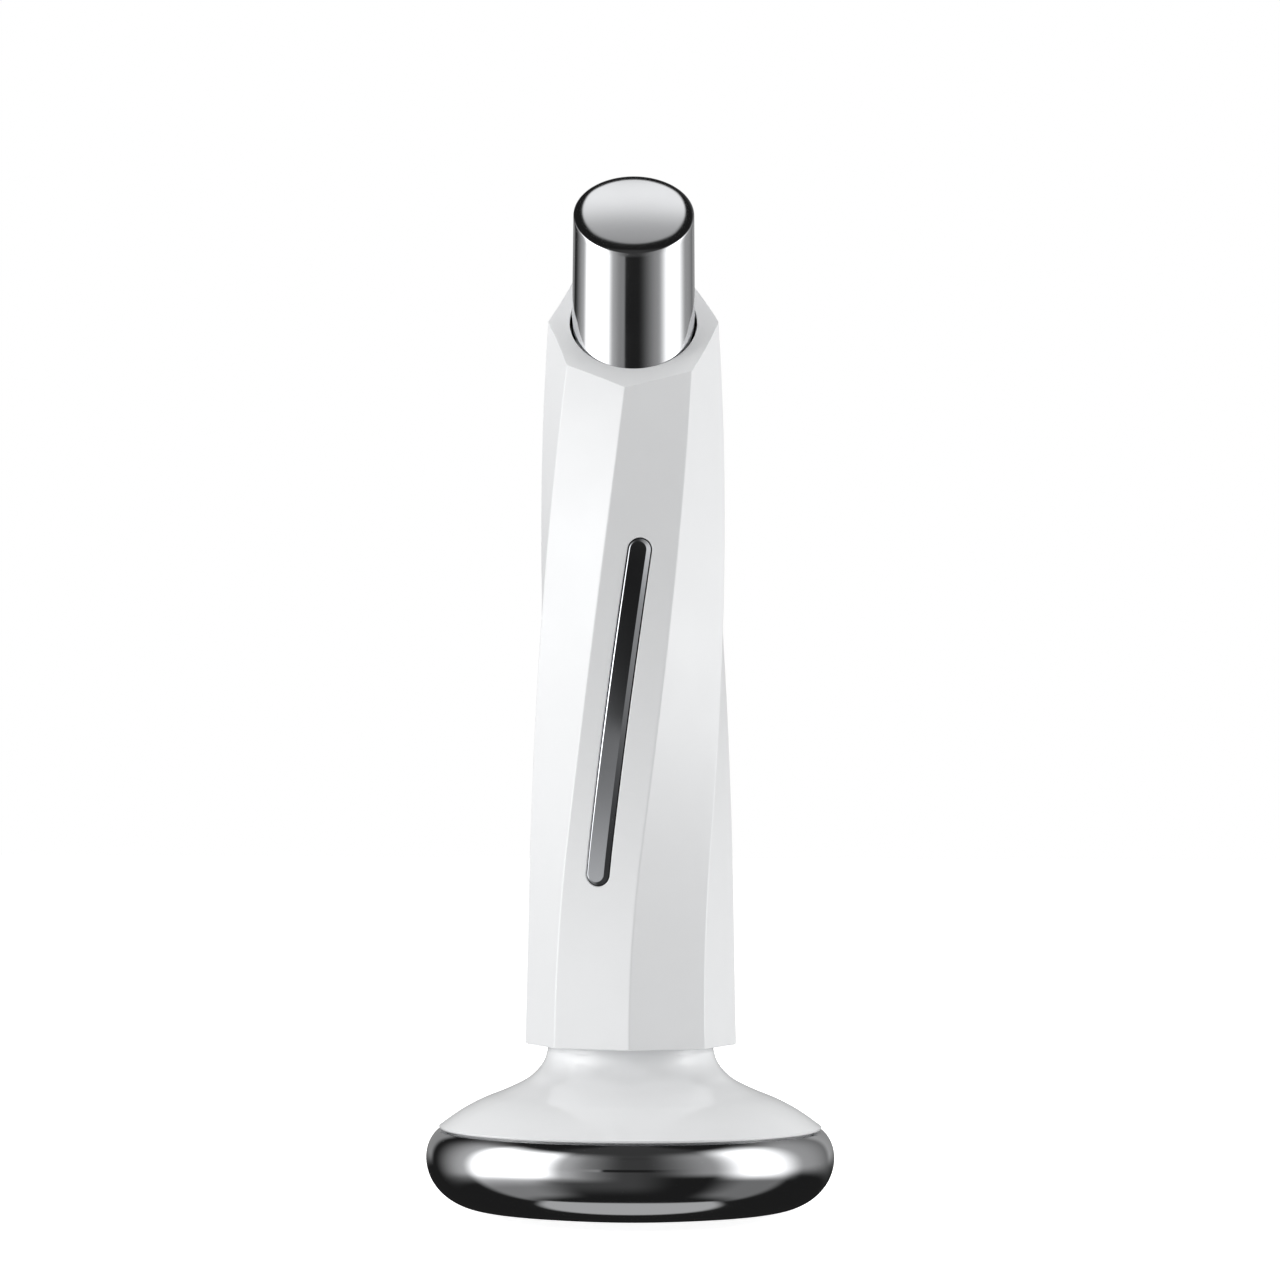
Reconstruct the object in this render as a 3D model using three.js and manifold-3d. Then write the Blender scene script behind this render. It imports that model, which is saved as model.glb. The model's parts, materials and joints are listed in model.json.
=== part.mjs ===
// Facial massager with two heads: a slanted vibrating metal tip above, a warm metal disc below, and between
// them a one-piece octagonal handle that tapers and twists. Lengths are in millimetres, +Z is up, -Y is the
// front, and the origin is the centre of the flat on which the disc stands.

import * as THREE from 'three';
import { mergeVertices } from 'three/addons/utils/BufferGeometryUtils.js';
import Module from 'manifold-3d';

const wasm = await Module();
wasm.setup();

const { degToRad, lerp } = THREE.MathUtils;

// Clearances: between pieces that rest on each other, round a sliding piece, and round a screw's shank.
const seatGap = 0.3;
const slideGap = 0.3;
const shankGap = 0.3;

// How far a cutting shape runs past the face that it cuts.
const overrun = 3;

// Face disc: a pressed metal shell with a small flat in the middle, a shallow dome and a rolled edge. The roll
// starts at a turn below its waist, and the flat's share is of the place where the dome's two tangents meet.
const discRadius = 30.1;
const discWaistHeight = 8.85;
const discFlatShare = 0.65;
const discUndersideLift = 1.25;
const discLowerReach = 8.5;
const discRollTurn = degToRad(-83);
const discShoulderReach = 3.6;
const discShoulderRise = 4.7;
const discRimHeight = 12.8;
const discRimWidth = 1.05;
const discRimInset = 1.9;
const discWall = 1.3;
const discFloor = 1.6;
const clampBossRadius = 2.4;
const clampCircleInset = 10.6;
const clampScrewCount = 3;

// Base skirt: the white flare, its neck, the lip that enters the disc and the bulkhead inside the neck.
const skirtRise = 11.6;
const skirtEdge = 0.35;
const skirtWall = 1.8;
const lipWall = 1.2;
const lipDepth = 3.6;
const neckReveal = 0.8;
const neckWall = 2;
const spigotRise = 8;
const bulkheadThickness = 2.6;
const snapProud = 0.5;
const snapWidth = 1;
const snapRise = 5.5;
const neckSealRise = 2.6;
const neckSealThickness = 0.8;
// Flare outline from rim to neck, as shares of its width and of its height.
const flareShares = [
  [1, 0], [0.8, 0.2], [0.603, 0.35], [0.395, 0.47], [0.205, 0.602], [0.096, 0.73], [0.03, 0.862], [0, 1],
];
const innerFlareShare = 0.8;

// Handle sleeve: radii are over the corners of the octagon, walls are measured at the middle of a facet.
const facetCount = 8;
const handleLength = 106.8;
const handleBottomRadius = 15.62;
const handleTopRadius = 12.57;
const handleSwell = 0.62;
const rimSlant = degToRad(37.8);
const fullTwist = degToRad(46);
const bottomTurn = degToRad(-0.7);
const twistDelay = 3.3;
const twistBlend = 26.6;
const handleSteps = 30;
const mouthWall = 1.9;
const coreWall = 2.3;
const guideDepth = 21.8;
const frontFacet = 0;
const backFacet = 4;

// Contact strip in the front facet, with its gasket and pegs; margins run from the handle's two ends.
const stripLowMargin = 23.8;
const stripHighMargin = 32.4;
const stripWidth = 3.4;
const stripProud = 0.15;
const stripThickness = 0.85;
const stripBevel = 0.4;
const stripGap = 0.2;
const gasketThickness = 0.3;
const pegRadius = 0.8;
const pegInset = 4;
const pegReserve = 0.2;
const barSteps = 10;

// Tip cap and its seal.
const tipRise = 16;
const tipTopRadius = 8.92;
const tipBottomRadius = 9.25;
const tipEdge = 1.7;
const tipWall = 0.9;
const tipBoreGap = 0.35;
const sealGrooveDepth = 0.8;
const sealGrooveTop = 1;
const sealThickness = 1.4;
const sealWidth = 0.65;

// Vibrating drive in the tip.
const carrierFlangeThickness = 2.8;
const carrierFloor = 3.9;
const carrierRadius = 7.9;
const carrierWall = 1.1;
const carrierCupDepth = 13.7;
const cradleWall = 1.3;
const cradleLength = 12.4;
const motorLength = 16;
const shaftRadius = 0.75;
const shaftSeat = 9.3;
const shaftLength = 17.7;
const weightRadius = 5.6;
const weightHubRadius = 2.2;
const weightLength = 6;
const weightRise = 1.4;

// Inner frame, which carries cell and board.
const frameGap = 0.35;
const frameWall = 1.1;
const frameBackShare = 0.12;
const framePlate = 3;
const frameTopPlate = 2.6;
const ribThickness = 3.6;
const ribToSocket = 4;
const bossRadius = 2.3;
const bossHeight = 9.5;
const leadHoleRadius = 3.6;
const motorHoleRadius = 2.4;

// Lithium cell, 10 mm across and 44 mm long, which fills the frame up to the leads behind it and to the room
// above it for the drive's leads, with its two nickel tabs.
const cellToLeads = 1.65;
const cellHeadroom = 22.8;
const cellEdge = 0.4;
const cellNubRadius = 2.2;
const cellNubRise = 0.8;
const tabThickness = 0.3;
const tabWidth = 4;
const tongueWidth = 1.6;
const tongueAside = 4.1;

// Circuit board and what is soldered to it.
const boardThickness = 0.8;
const boardWallGap = 1;
const switchWidth = 4.5;
const switchHeight = 1.6;
const switchFloor = 0.2;
const plungerRadius = 1;
const plungerRise = 0.7;
const plungerLength = 1.5;
const lensCount = 3;
const lensPitch = 3;
const lensInset = 2.7;
const lensRadius = 0.9;
const lensFlangeReach = 0.6;
const lensFlangeThickness = 0.8;
const ledWidth = 1.6;
const ledHeight = 0.7;
const chipWidth = 5;
const chipHeight = 0.9;
const chipShare = 0.66;
const inductorWidth = 5;
const inductorHeight = 2.4;
const inductorShare = 0.33;
const capacitorRadius = 2;
const capacitorToWall = 0.6;
const connectorWidth = 7.4;
const connectorDepth = 2.9;
const connectorLength = 4;
const connectorLift = 5.8;

// Charging socket, upright, low on the back.
const socketLift = 14.8;
const socketWidth = 3;
const socketHeight = 7.6;
const socketWall = 0.4;
const tongueThickness = 0.6;
const tongueMargin = 0.9;
const recessMargin = 1.6;
const recessDepth = 0.8;

// Power button in the back facet.
const buttonWidth = 6.4;
const buttonLength = 10.4;
const buttonProud = 0.35;
const buttonFlangeReach = 1;
const buttonFlangeThickness = 1;
const buttonToLens = 10;

// Warm side of the disc.
const padInset = 4.6;
const padThickness = 0.8;
const heaterInset = 3;
const heaterThickness = 2.2;
const clampThickness = 1.5;
const clampHoleRadius = 4;
const clampEarRadius = 2.9;
const clampPlateInset = 1.7;
const beadRadius = 0.9;
const terminalThickness = 0.5;
const terminalReach = 1.3;
const terminalBarrel = 5.5;

// Screws: shank and head radii and head height, and how deep each kind bites.
const screwShankRadius = 0.85;
const screwHeadRadius = 1.7;
const screwHeadHeight = 1.3;
const screwBite = 3;
const baseScrewBite = 7.5;
const baseScrewInset = 0.9;
const baseScrewBack = 2;
const carrierScrewSpread = 5.2;
const boardScrewSpread = 5.1;

// Insulated leads.
const leadRadius = 0.5;
const leadSides = 6;
const leadSteps = 9;
const leadPitch = 1.6;
const motorLeadSpread = 1.1;
const motorLeadDrop = 5.2;

// Sprung pin that meets the strip's upper peg.
const pinRadius = 0.8;
const pinFlangeReach = 0.7;
const pinFlangeThickness = 0.8;
const pinTail = 2.2;

// Sides of the large, middling and small round pieces, and the steps of their curves.
const largeSides = 32;
const mediumSides = 24;
const smallSides = 12;
const screwSides = 8;
const curvePoints = 5;
const flarePoints = 8;
const rollPoints = 6;
const shoulderPoints = 3;

// Heights from the ground up, each worked out from the piece below.
const skirtBottom = discRimHeight + seatGap;
const flareTop = skirtBottom + skirtRise;
const handleBottom = flareTop + neckReveal;
const spigotTop = handleBottom + spigotRise;
const bulkheadBottom = spigotTop - bulkheadThickness;
const rimHeight = handleBottom + handleLength;
const tipHeight = rimHeight + tipRise;
const guideLedge = rimHeight - guideDepth;
const carrierBottom = guideLedge - seatGap - carrierFlangeThickness;
const tipBottom = guideLedge;
const frameBottom = spigotTop + seatGap;
const frameTop = carrierBottom - seatGap;
const boardBottom = frameBottom + framePlate + seatGap;
const boardTop = frameTop - frameTopPlate - seatGap;
const lensHeights = Array.from({ length: lensCount }, (_, dot) => boardTop - lensInset - dot * lensPitch);
const buttonHeight = lensHeights[lensCount - 1] - buttonToLens;
const chargeHeight = boardBottom + socketLift;
const stripBottom = handleBottom + stripLowMargin + stripWidth / 2;
const stripTop = rimHeight - stripHighMargin - stripWidth / 2;
const stripCentre = (stripBottom + stripTop) / 2;
const padBottom = discFloor + seatGap;
const heaterBottom = padBottom + padThickness + seatGap;
const clampBottom = heaterBottom + heaterThickness + seatGap;
const clampTop = clampBottom + clampThickness;
const cellBottom = frameBottom + framePlate + seatGap + tabThickness + seatGap;
const cellTop = frameTop - frameTopPlate - cellHeadroom;
const cellLength = cellTop - cellBottom;
const upperRibBottom = cellTop + cellNubRise + seatGap + tabThickness + seatGap;
const middleRibBottom = chargeHeight + socketHeight / 2 + ribToSocket;

// Radius of the handle over its corners, swollen most at two thirds of its height, and the turn of its octagon.
function cornerRadius(height) {
  const rise = (height - handleBottom) / handleLength;
  return lerp(handleBottomRadius, handleTopRadius, rise) + handleSwell * 27 / 4 * rise ** 2 * (1 - rise);
}

function twistAt(height) {
  const rise = Math.max(height - handleBottom - twistDelay, 0);
  const eased = rise < twistBlend ? rise ** 2 / (2 * twistBlend) : rise - twistBlend / 2;
  return bottomTurn + fullTwist * eased / (handleLength - twistDelay - twistBlend / 2);
}

// Distance from the axis to the middle of a facet.
function facetDepth(height) {
  return cornerRadius(height) * Math.cos(Math.PI / facetCount);
}

// Bore of the handle: a mouth for the neck, a cone for the frame, and a straight guide for the tip.
const mouthRadius = facetDepth(handleBottom) - mouthWall;
const coreBottomRadius = facetDepth(frameBottom) - coreWall;
const coreTopRadius = facetDepth(guideLedge) - coreWall;
const guideRadius = tipBottomRadius + tipBoreGap;

// Radii that follow the bore and the disc: neck, skirt's rim, clamp screws, pad, heater and clamp plate.
const neckRadius = mouthRadius - slideGap;
const baseScrewSpread = neckRadius - neckWall - screwHeadRadius - baseScrewInset;
const skirtRimRadius = discRadius - discRimInset;
const clampCircleRadius = discRadius - clampCircleInset;
const clampPlateRadius = clampCircleRadius - clampPlateInset;
const padRadius = clampCircleRadius - clampBossRadius - padInset;
const heaterRadius = padRadius - heaterInset;

function coreRadius(height) {
  return lerp(coreBottomRadius, coreTopRadius, (height - frameBottom) / (guideLedge - frameBottom));
}

// Depth of the bore's wall behind the axis, measured at a distance to the side.
function coreDepth(height, aside) {
  return Math.sqrt(coreRadius(height) ** 2 - aside ** 2);
}

// Depths from the axis to the back: button flange, plunger, switch, board and cell.
const flangeBack = coreDepth(buttonHeight + buttonLength / 2, buttonWidth / 2 + buttonFlangeReach) - slideGap;
const plungerBack = flangeBack - buttonFlangeThickness - seatGap;
const boardBack = plungerBack - plungerRise - switchHeight - seatGap;
const boardFront = boardBack - boardThickness;
const boardHalfWidth = Math.sqrt((coreRadius(boardTop) - boardWallGap) ** 2 - boardBack ** 2);
const connectorBack = boardFront - seatGap;
const leadLine = connectorBack - connectorDepth / 2;
const cellBack = leadLine - leadRadius - cellToLeads;
const cellFront = seatGap + frameWall + frameGap - coreRadius(cellTop);
const cellRadius = (cellBack - cellFront) / 2;
const cellCentre = (cellBack + cellFront) / 2;
const frameBack = coreTopRadius * frameBackShare;

// Builds the closed solid of a geometry, with doubled corners joined and the faces pointing out.
function solidOf(geometry) {
  geometry.deleteAttribute('normal');
  geometry.deleteAttribute('uv');
  const merged = mergeVertices(geometry);
  const places = merged.attributes.position.array;
  const corners = merged.index.array;
  const faces = [];
  let volume = 0;
  for (let start = 0; start < corners.length; start += 3) {
    const [a, b, c] = corners.slice(start, start + 3);
    if (a === b || b === c || c === a) continue;
    faces.push([a, b, c]);
    const [p, q, r] = [a, b, c].map((corner) => new THREE.Vector3().fromArray(places, corner * 3));
    volume += p.dot(q.cross(r));
  }
  if (volume < 0) faces.forEach((face) => face.reverse());
  const triVerts = new Uint32Array(faces.flat());
  return new wasm.Manifold(new wasm.Mesh({ numProp: 3, vertProperties: new Float32Array(places), triVerts }));
}

// Turns a profile of [radius, height] points about the upright axis.
function turnedGeometry(points, sides) {
  const profile = points.map(([radius, height]) => new THREE.Vector2(radius, height));
  return new THREE.LatheGeometry(profile, sides).rotateX(Math.PI / 2);
}

function turned(points, sides) {
  return solidOf(turnedGeometry(points, sides));
}

// Ring of rectangular section.
function ring(inner, outer, bottom, top, sides) {
  return turned([[inner, bottom], [outer, bottom], [outer, top], [inner, top], [inner, bottom]], sides);
}

// Round bar between two points.
function rod(radius, from, to, sides = smallSides) {
  const start = new THREE.Vector3(...from);
  const run = new THREE.Vector3(...to).sub(start);
  const geometry = new THREE.CylinderGeometry(radius, radius, run.length(), sides);
  const turn = new THREE.Quaternion().setFromUnitVectors(new THREE.Vector3(0, 1, 0), run.clone().normalize());
  geometry.applyQuaternion(turn);
  geometry.translate(...start.addScaledVector(run, 1 / 2).toArray());
  return solidOf(geometry);
}

// Box between two corners.
function block(low, high) {
  const size = high.map((value, axis) => value - low[axis]);
  const middle = high.map((value, axis) => (value + low[axis]) / 2);
  return solidOf(new THREE.BoxGeometry(...size).translate(...middle));
}

// Leans a geometry back with the slant of the handle's rim, above a given height.
function slanted(geometry, above) {
  const places = geometry.attributes.position;
  for (let index = 0; index < places.count; index += 1) {
    const height = places.getZ(index);
    if (height > above) places.setZ(index, height + places.getY(index) * Math.tan(rimSlant));
  }
  return geometry;
}

// Twisted and tapered octagon between two heights, grown outwards by a given amount.
function twistedOctagon(bottom, top, grown) {
  const corners = Array.from({ length: facetCount }, (_, side) => {
    const angle = side * 2 * Math.PI / facetCount;
    return new THREE.Vector2(Math.sin(angle), -Math.cos(angle));
  });
  const shape = new THREE.Shape(corners);
  const steps = Math.ceil(handleSteps * (top - bottom) / handleLength);
  const geometry = new THREE.ExtrudeGeometry(shape, { depth: top - bottom, steps, bevelEnabled: false });
  const places = geometry.attributes.position;
  const centre = new THREE.Vector2();
  for (let index = 0; index < places.count; index += 1) {
    const height = bottom + places.getZ(index);
    const radius = cornerRadius(height) + grown / Math.cos(Math.PI / facetCount);
    const corner = new THREE.Vector2(places.getX(index), places.getY(index)).rotateAround(centre, twistAt(height));
    places.setXYZ(index, corner.x * radius, corner.y * radius, height);
  }
  return solidOf(geometry);
}

// Middle of a facet at a height, and the frame there: X across the facet, Y up along it, Z outwards.
function facetAngle(height, facet) {
  return twistAt(height) + (facet - 1 / 2) * 2 * Math.PI / facetCount;
}

function facetPoint(height, facet) {
  const depth = facetDepth(height);
  const angle = facetAngle(height, facet);
  return new THREE.Vector3(depth * Math.sin(angle), -depth * Math.cos(angle), height);
}

function facetFrame(height, facet) {
  const angle = facetAngle(height, facet);
  const level = new THREE.Vector3(Math.cos(angle), Math.sin(angle), 0);
  const span = handleLength / handleSteps;
  const along = facetPoint(height + span, facet).sub(facetPoint(height - span, facet)).normalize();
  const outward = level.cross(along).normalize();
  const across = along.clone().cross(outward);
  return new THREE.Matrix4().makeBasis(across, along, outward).setPosition(facetPoint(height, facet));
}

// Bar with round ends laid along a facet; its half section is a list of [across, outward] points from low to high.
function facetBar(halfSection, facet, bottom, top) {
  const mirrored = halfSection.map(([across, outward]) => [-across, outward]).reverse();
  const outline = [...halfSection, ...mirrored].map(([across, outward]) => new THREE.Vector2(across, outward));
  const settings = { depth: top - bottom, steps: barSteps, bevelEnabled: false };
  const geometry = new THREE.ExtrudeGeometry(new THREE.Shape(outline), settings);
  const places = geometry.attributes.position;
  const point = new THREE.Vector3();
  for (let index = 0; index < places.count; index += 1) {
    const frame = facetFrame(bottom + places.getZ(index), facet);
    point.set(places.getX(index), 0, places.getY(index)).applyMatrix4(frame);
    places.setXYZ(index, ...point.toArray());
  }
  const low = halfSection[0][1];
  const high = halfSection[halfSection.length - 1][1];
  const endProfile = [[0, low], ...halfSection, [0, high]];
  const ends = [bottom, top].map((height) => {
    return solidOf(turnedGeometry(endProfile, smallSides).applyMatrix4(facetFrame(height, facet)));
  });
  return solidOf(geometry).add(ends[0]).add(ends[1]);
}

// Capsule outline laid on a facet and run straight through it, between two depths from its surface.
function facetPlug(width, length, facet, height, inner, outer) {
  const radius = width / 2;
  const reach = (length - width) / 2;
  const shape = new THREE.Shape();
  shape.absarc(0, reach, radius, 0, Math.PI);
  shape.absarc(0, -reach, radius, Math.PI, 2 * Math.PI);
  const settings = { depth: outer - inner, curveSegments: smallSides / 2, bevelEnabled: false };
  const geometry = new THREE.ExtrudeGeometry(shape, settings).translate(0, 0, inner);
  return solidOf(geometry.applyMatrix4(facetFrame(height, facet)));
}

// Heights of the strip's three pegs, and the depth of the bore's wall below the facet there.
const pegHeights = [stripBottom + pegInset, stripCentre, stripTop - pegInset];

function wallDepth(height) {
  return facetDepth(height) - coreRadius(height);
}

// Depths of the strip's layers below the facet: its underside, its gasket and the floor of the slot.
const stripUnderside = stripProud - stripThickness;
const gasketTop = stripUnderside - stripGap;
const slotFloor = gasketTop - gasketThickness - stripGap;

// Straight line between two depths below a facet.
function facetRod(radius, facet, height, inner, outer) {
  const ends = [inner, outer].map((depth) => new THREE.Vector3(0, 0, depth).applyMatrix4(facetFrame(height, facet)));
  return rod(radius, ends[0].toArray(), ends[1].toArray());
}

// Half section of a plain bar, from low to high.
function plainHalf(width, low, high) {
  return [[width / 2, low], [width / 2, high]];
}

// Sideways place of the charging socket: the middle of the facet that it opens through.
const socketAside = facetPoint(chargeHeight, backFacet).x;
const socketMouth = coreDepth(chargeHeight + socketHeight / 2, Math.abs(socketAside) + socketWidth / 2) - seatGap;

// One-piece moulded sleeve: twisted octagon, slanted rim, bore, strip slot, button and light holes, socket recess.
function handleSleeve() {
  const reach = 2 * handleBottomRadius;
  const top = rimHeight + reach * Math.sin(rimSlant);
  const slantCut = new THREE.BoxGeometry(2 * reach, 2 * reach, reach).translate(0, 0, reach / 2);
  slantCut.rotateX(rimSlant).translate(0, 0, rimHeight);
  const bore = turned([
    [0, handleBottom - overrun], [mouthRadius, handleBottom - overrun], [mouthRadius, frameBottom],
    [coreBottomRadius, frameBottom], [coreTopRadius, guideLedge], [guideRadius, guideLedge],
    [guideRadius, top], [0, top],
  ], mediumSides);
  const snapBottom = handleBottom + snapRise - snapWidth / 2 - slideGap;
  const snapTop = handleBottom + snapRise + snapWidth / 2 + slideGap;
  const snapGroove = turned([
    [0, snapBottom], [neckRadius + snapProud + slideGap, snapBottom],
    [neckRadius + snapProud + slideGap, snapTop], [0, snapTop],
  ], mediumSides);
  const grooveRadius = guideRadius + sealGrooveDepth;
  const grooveHigh = rimHeight - sealGrooveTop;
  const grooveLow = grooveHigh - sealThickness - 2 * seatGap;
  const sealGroove = solidOf(slanted(turnedGeometry([
    [0, grooveLow], [grooveRadius, grooveLow], [grooveRadius, grooveHigh], [0, grooveHigh],
  ], mediumSides), 0));
  const slotWidth = stripWidth + 2 * stripGap;
  let sleeve = twistedOctagon(handleBottom, top, 0)
    .subtract(solidOf(slantCut))
    .subtract(bore)
    .subtract(snapGroove)
    .subtract(sealGroove)
    .subtract(facetBar(plainHalf(slotWidth, slotFloor, overrun), frontFacet, stripBottom, stripTop));
  for (const height of pegHeights) {
    sleeve = sleeve.subtract(facetRod(pegRadius + shankGap, frontFacet, height, slotFloor - overrun, 0));
  }
  const holeWidth = buttonWidth + 2 * slideGap;
  const holeLength = buttonLength + 2 * slideGap;
  const holeDepth = wallDepth(buttonHeight) + overrun;
  sleeve = sleeve.subtract(facetPlug(holeWidth, holeLength, backFacet, buttonHeight, -holeDepth, overrun));
  for (const height of lensHeights) {
    const aside = facetPoint(height, backFacet).x;
    sleeve = sleeve.subtract(rod(lensRadius + slideGap, [aside, boardBack, height], [aside, reach, height]));
  }
  const recessWidth = socketWidth + 2 * recessMargin;
  const recessLength = socketHeight + 2 * recessMargin;
  return sleeve
    .subtract(facetPlug(recessWidth, recessLength, backFacet, chargeHeight, -recessDepth, overrun))
    .subtract(block(
      [socketAside - socketWidth / 2 - slideGap, boardBack, chargeHeight - socketHeight / 2 - slideGap],
      [socketAside + socketWidth / 2 + slideGap, reach, chargeHeight + socketHeight / 2 + slideGap],
    ));
}

// Polished strip with bevelled edges and three pegs.
function contactStrip() {
  const half = stripWidth / 2;
  const section = [[half, stripUnderside], [half, stripProud - stripBevel], [half - stripBevel, stripProud]];
  let strip = facetBar(section, frontFacet, stripBottom, stripTop);
  for (const height of pegHeights) {
    const pegEnd = pegReserve - wallDepth(height);
    strip = strip.add(facetRod(pegRadius, frontFacet, height, pegEnd, stripUnderside + stripThickness / 2));
  }
  return strip;
}

// Die-cut foam gasket under the strip; its edge shows as the dark line round the metal.
function stripGasket() {
  const width = stripWidth + stripGap;
  let gasket = facetBar(plainHalf(width, gasketTop - gasketThickness, gasketTop), frontFacet, stripBottom, stripTop);
  for (const height of pegHeights) {
    gasket = gasket.subtract(facetRod(pegRadius + shankGap, frontFacet, height, slotFloor, 0));
  }
  return gasket;
}

// Drawn metal cap with draft, a rounded edge and a flat face that slants with the handle's rim.
function tipCap() {
  const shoulder = tipHeight - tipEdge;
  const faceWall = tipWall / Math.cos(rimSlant);
  const crown = [];
  for (let point = 0; point <= curvePoints; point += 1) {
    const angle = Math.PI / 2 * (1 - point / curvePoints);
    crown.push([tipTopRadius - tipEdge * (1 - Math.cos(angle)), shoulder + tipEdge * Math.sin(angle)]);
  }
  const profile = [
    [0, tipHeight], ...crown, [tipBottomRadius, tipBottom], [tipBottomRadius - tipWall, tipBottom],
    [tipTopRadius - tipWall, shoulder - faceWall], [tipTopRadius - tipEdge, tipHeight - faceWall],
    [0, tipHeight - faceWall],
  ];
  return solidOf(slanted(turnedGeometry(profile, mediumSides), lerp(tipBottom, tipHeight, 1 / 2)));
}

// Rubber ring that closes the gap between tip and handle, in its slanted groove.
function tipSeal() {
  const high = rimHeight - sealGrooveTop - seatGap;
  const inner = guideRadius + sealGrooveDepth - seatGap - sealWidth;
  const outer = inner + sealWidth;
  const low = high - sealThickness;
  const profile = [[inner, low], [outer, low], [outer, high], [inner, high], [inner, low]];
  return solidOf(slanted(turnedGeometry(profile, mediumSides), 0));
}

// Flare, neck with snap bead and seal groove, bulkhead and the lip that enters the disc, all one moulding.
function baseSkirt() {
  const rim = skirtBottom + skirtEdge;
  const flare = new THREE.SplineCurve(flareShares.map(([across, rise]) => {
    return new THREE.Vector2(lerp(neckRadius, skirtRimRadius, across), lerp(rim, flareTop, rise));
  }));
  const outerFlare = flare.getPoints(flarePoints).map((point) => point.toArray());
  const innerFlare = [];
  for (let step = 0; step <= curvePoints; step += 1) {
    const share = 1 - innerFlareShare * (1 - step / curvePoints);
    const inward = flare.getTangent(share).rotateAround(new THREE.Vector2(), Math.PI / 2);
    innerFlare.push(flare.getPoint(share).addScaledVector(inward, skirtWall).toArray());
  }
  const lipOuter = skirtRimRadius - discRimWidth - seatGap;
  const lipInner = lipOuter - lipWall;
  const snapRadius = neckRadius + snapProud;
  const snapMiddle = handleBottom + snapRise;
  const sealLow = handleBottom + neckSealRise - neckSealThickness / 2 - seatGap;
  const sealHigh = sealLow + neckSealThickness + 2 * seatGap;
  const sealFloor = neckRadius - neckSealThickness - seatGap;
  const profile = [
    [0, bulkheadBottom], [neckRadius - neckWall, bulkheadBottom], ...innerFlare.reverse(),
    [lipInner, skirtBottom - skirtEdge], [lipInner, skirtBottom - lipDepth], [lipOuter, skirtBottom - lipDepth],
    [lipOuter, skirtBottom], [skirtRimRadius, skirtBottom], ...outerFlare,
    [neckRadius, sealLow], [sealFloor, sealLow], [sealFloor, sealHigh], [neckRadius, sealHigh],
    [neckRadius, snapMiddle - snapWidth / 2], [snapRadius, snapMiddle], [neckRadius, snapMiddle + snapWidth / 2],
    [neckRadius, spigotTop], [0, spigotTop],
  ];
  let skirt = turned(profile, largeSides)
    .subtract(rod(leadHoleRadius, [0, leadLine, bulkheadBottom - overrun], [0, leadLine, spigotTop + overrun]));
  for (const side of [-1, 1]) {
    const low = [side * baseScrewSpread, baseScrewBack, bulkheadBottom - overrun];
    const high = [side * baseScrewSpread, baseScrewBack, spigotTop + overrun];
    skirt = skirt.subtract(rod(screwShankRadius + shankGap, low, high));
  }
  return skirt;
}

// Rubber ring in the neck's groove.
function neckSeal() {
  const low = handleBottom + neckSealRise - neckSealThickness / 2;
  const outer = neckRadius;
  return ring(outer - neckSealThickness, outer, low, low + neckSealThickness, mediumSides);
}

// Places of the clamp screws round the disc; the first is at the back.
const clampPlaces = Array.from({ length: clampScrewCount }, (_, turn) => {
  const angle = Math.PI / 2 + turn * 2 * Math.PI / clampScrewCount;
  return [clampCircleRadius * Math.cos(angle), clampCircleRadius * Math.sin(angle)];
});

// Quarter of an ellipse from one angle to another, as profile points.
function ellipseArc(centre, height, reach, rise, from, to, steps) {
  const curve = new THREE.EllipseCurve(centre, height, reach, rise, from, to, from > to);
  return curve.getPoints(steps).map((point) => point.toArray());
}

// Pressed metal shell: flat, dome and rolled edge outside, the same less one wall inside, and three bosses.
function faceDisc() {
  const lowerRise = discWaistHeight - discUndersideLift;
  const lowerCentre = discRadius - discLowerReach;
  const upperCentre = discRadius - discShoulderReach;
  const rimTurn = Math.asin((discRimHeight - discWaistHeight) / discShoulderRise);
  const lowerArc = ellipseArc(lowerCentre, discWaistHeight, discLowerReach, lowerRise, discRollTurn, 0, rollPoints);
  const upperArc = ellipseArc(upperCentre, discWaistHeight, discShoulderReach, discShoulderRise, 0, rimTurn,
    shoulderPoints);
  const [domeRadius, domeHeight] = lowerArc[0];
  const domeSlope = lowerRise / discLowerReach * Math.tan(Math.PI / 2 + discRollTurn);
  const tangentMeet = domeRadius - domeHeight / domeSlope;
  const dome = new THREE.QuadraticBezierCurve(
    new THREE.Vector2(tangentMeet * discFlatShare, 0),
    new THREE.Vector2(tangentMeet, 0),
    new THREE.Vector2(domeRadius, domeHeight),
  ).getPoints(shoulderPoints).map((point) => point.toArray());
  const innerReach = discLowerReach - discWall;
  const innerRise = lowerRise - discWall;
  const innerArc = ellipseArc(lowerCentre, discWaistHeight, innerReach, innerRise, 0, discRollTurn, curvePoints);
  const rimInner = skirtRimRadius - discRimWidth;
  const profile = [
    [0, 0], ...dome.slice(0, -1), ...lowerArc, ...upperArc.slice(1),
    [rimInner, discRimHeight], [discRadius - discWall, discWaistHeight + seatGap], ...innerArc,
    [padRadius + seatGap, discFloor], [0, discFloor],
  ];
  let disc = turned(profile, largeSides);
  for (const [x, y] of clampPlaces) {
    disc = disc.add(rod(clampBossRadius, [x, y, discFloor], [x, y, clampBottom - seatGap]));
  }
  for (const [x, y] of clampPlaces) {
    const bite = [x, y, clampBottom - seatGap - screwBite];
    disc = disc.subtract(rod(screwShankRadius + shankGap, bite, [x, y, clampBottom + overrun]));
  }
  return disc;
}

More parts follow.
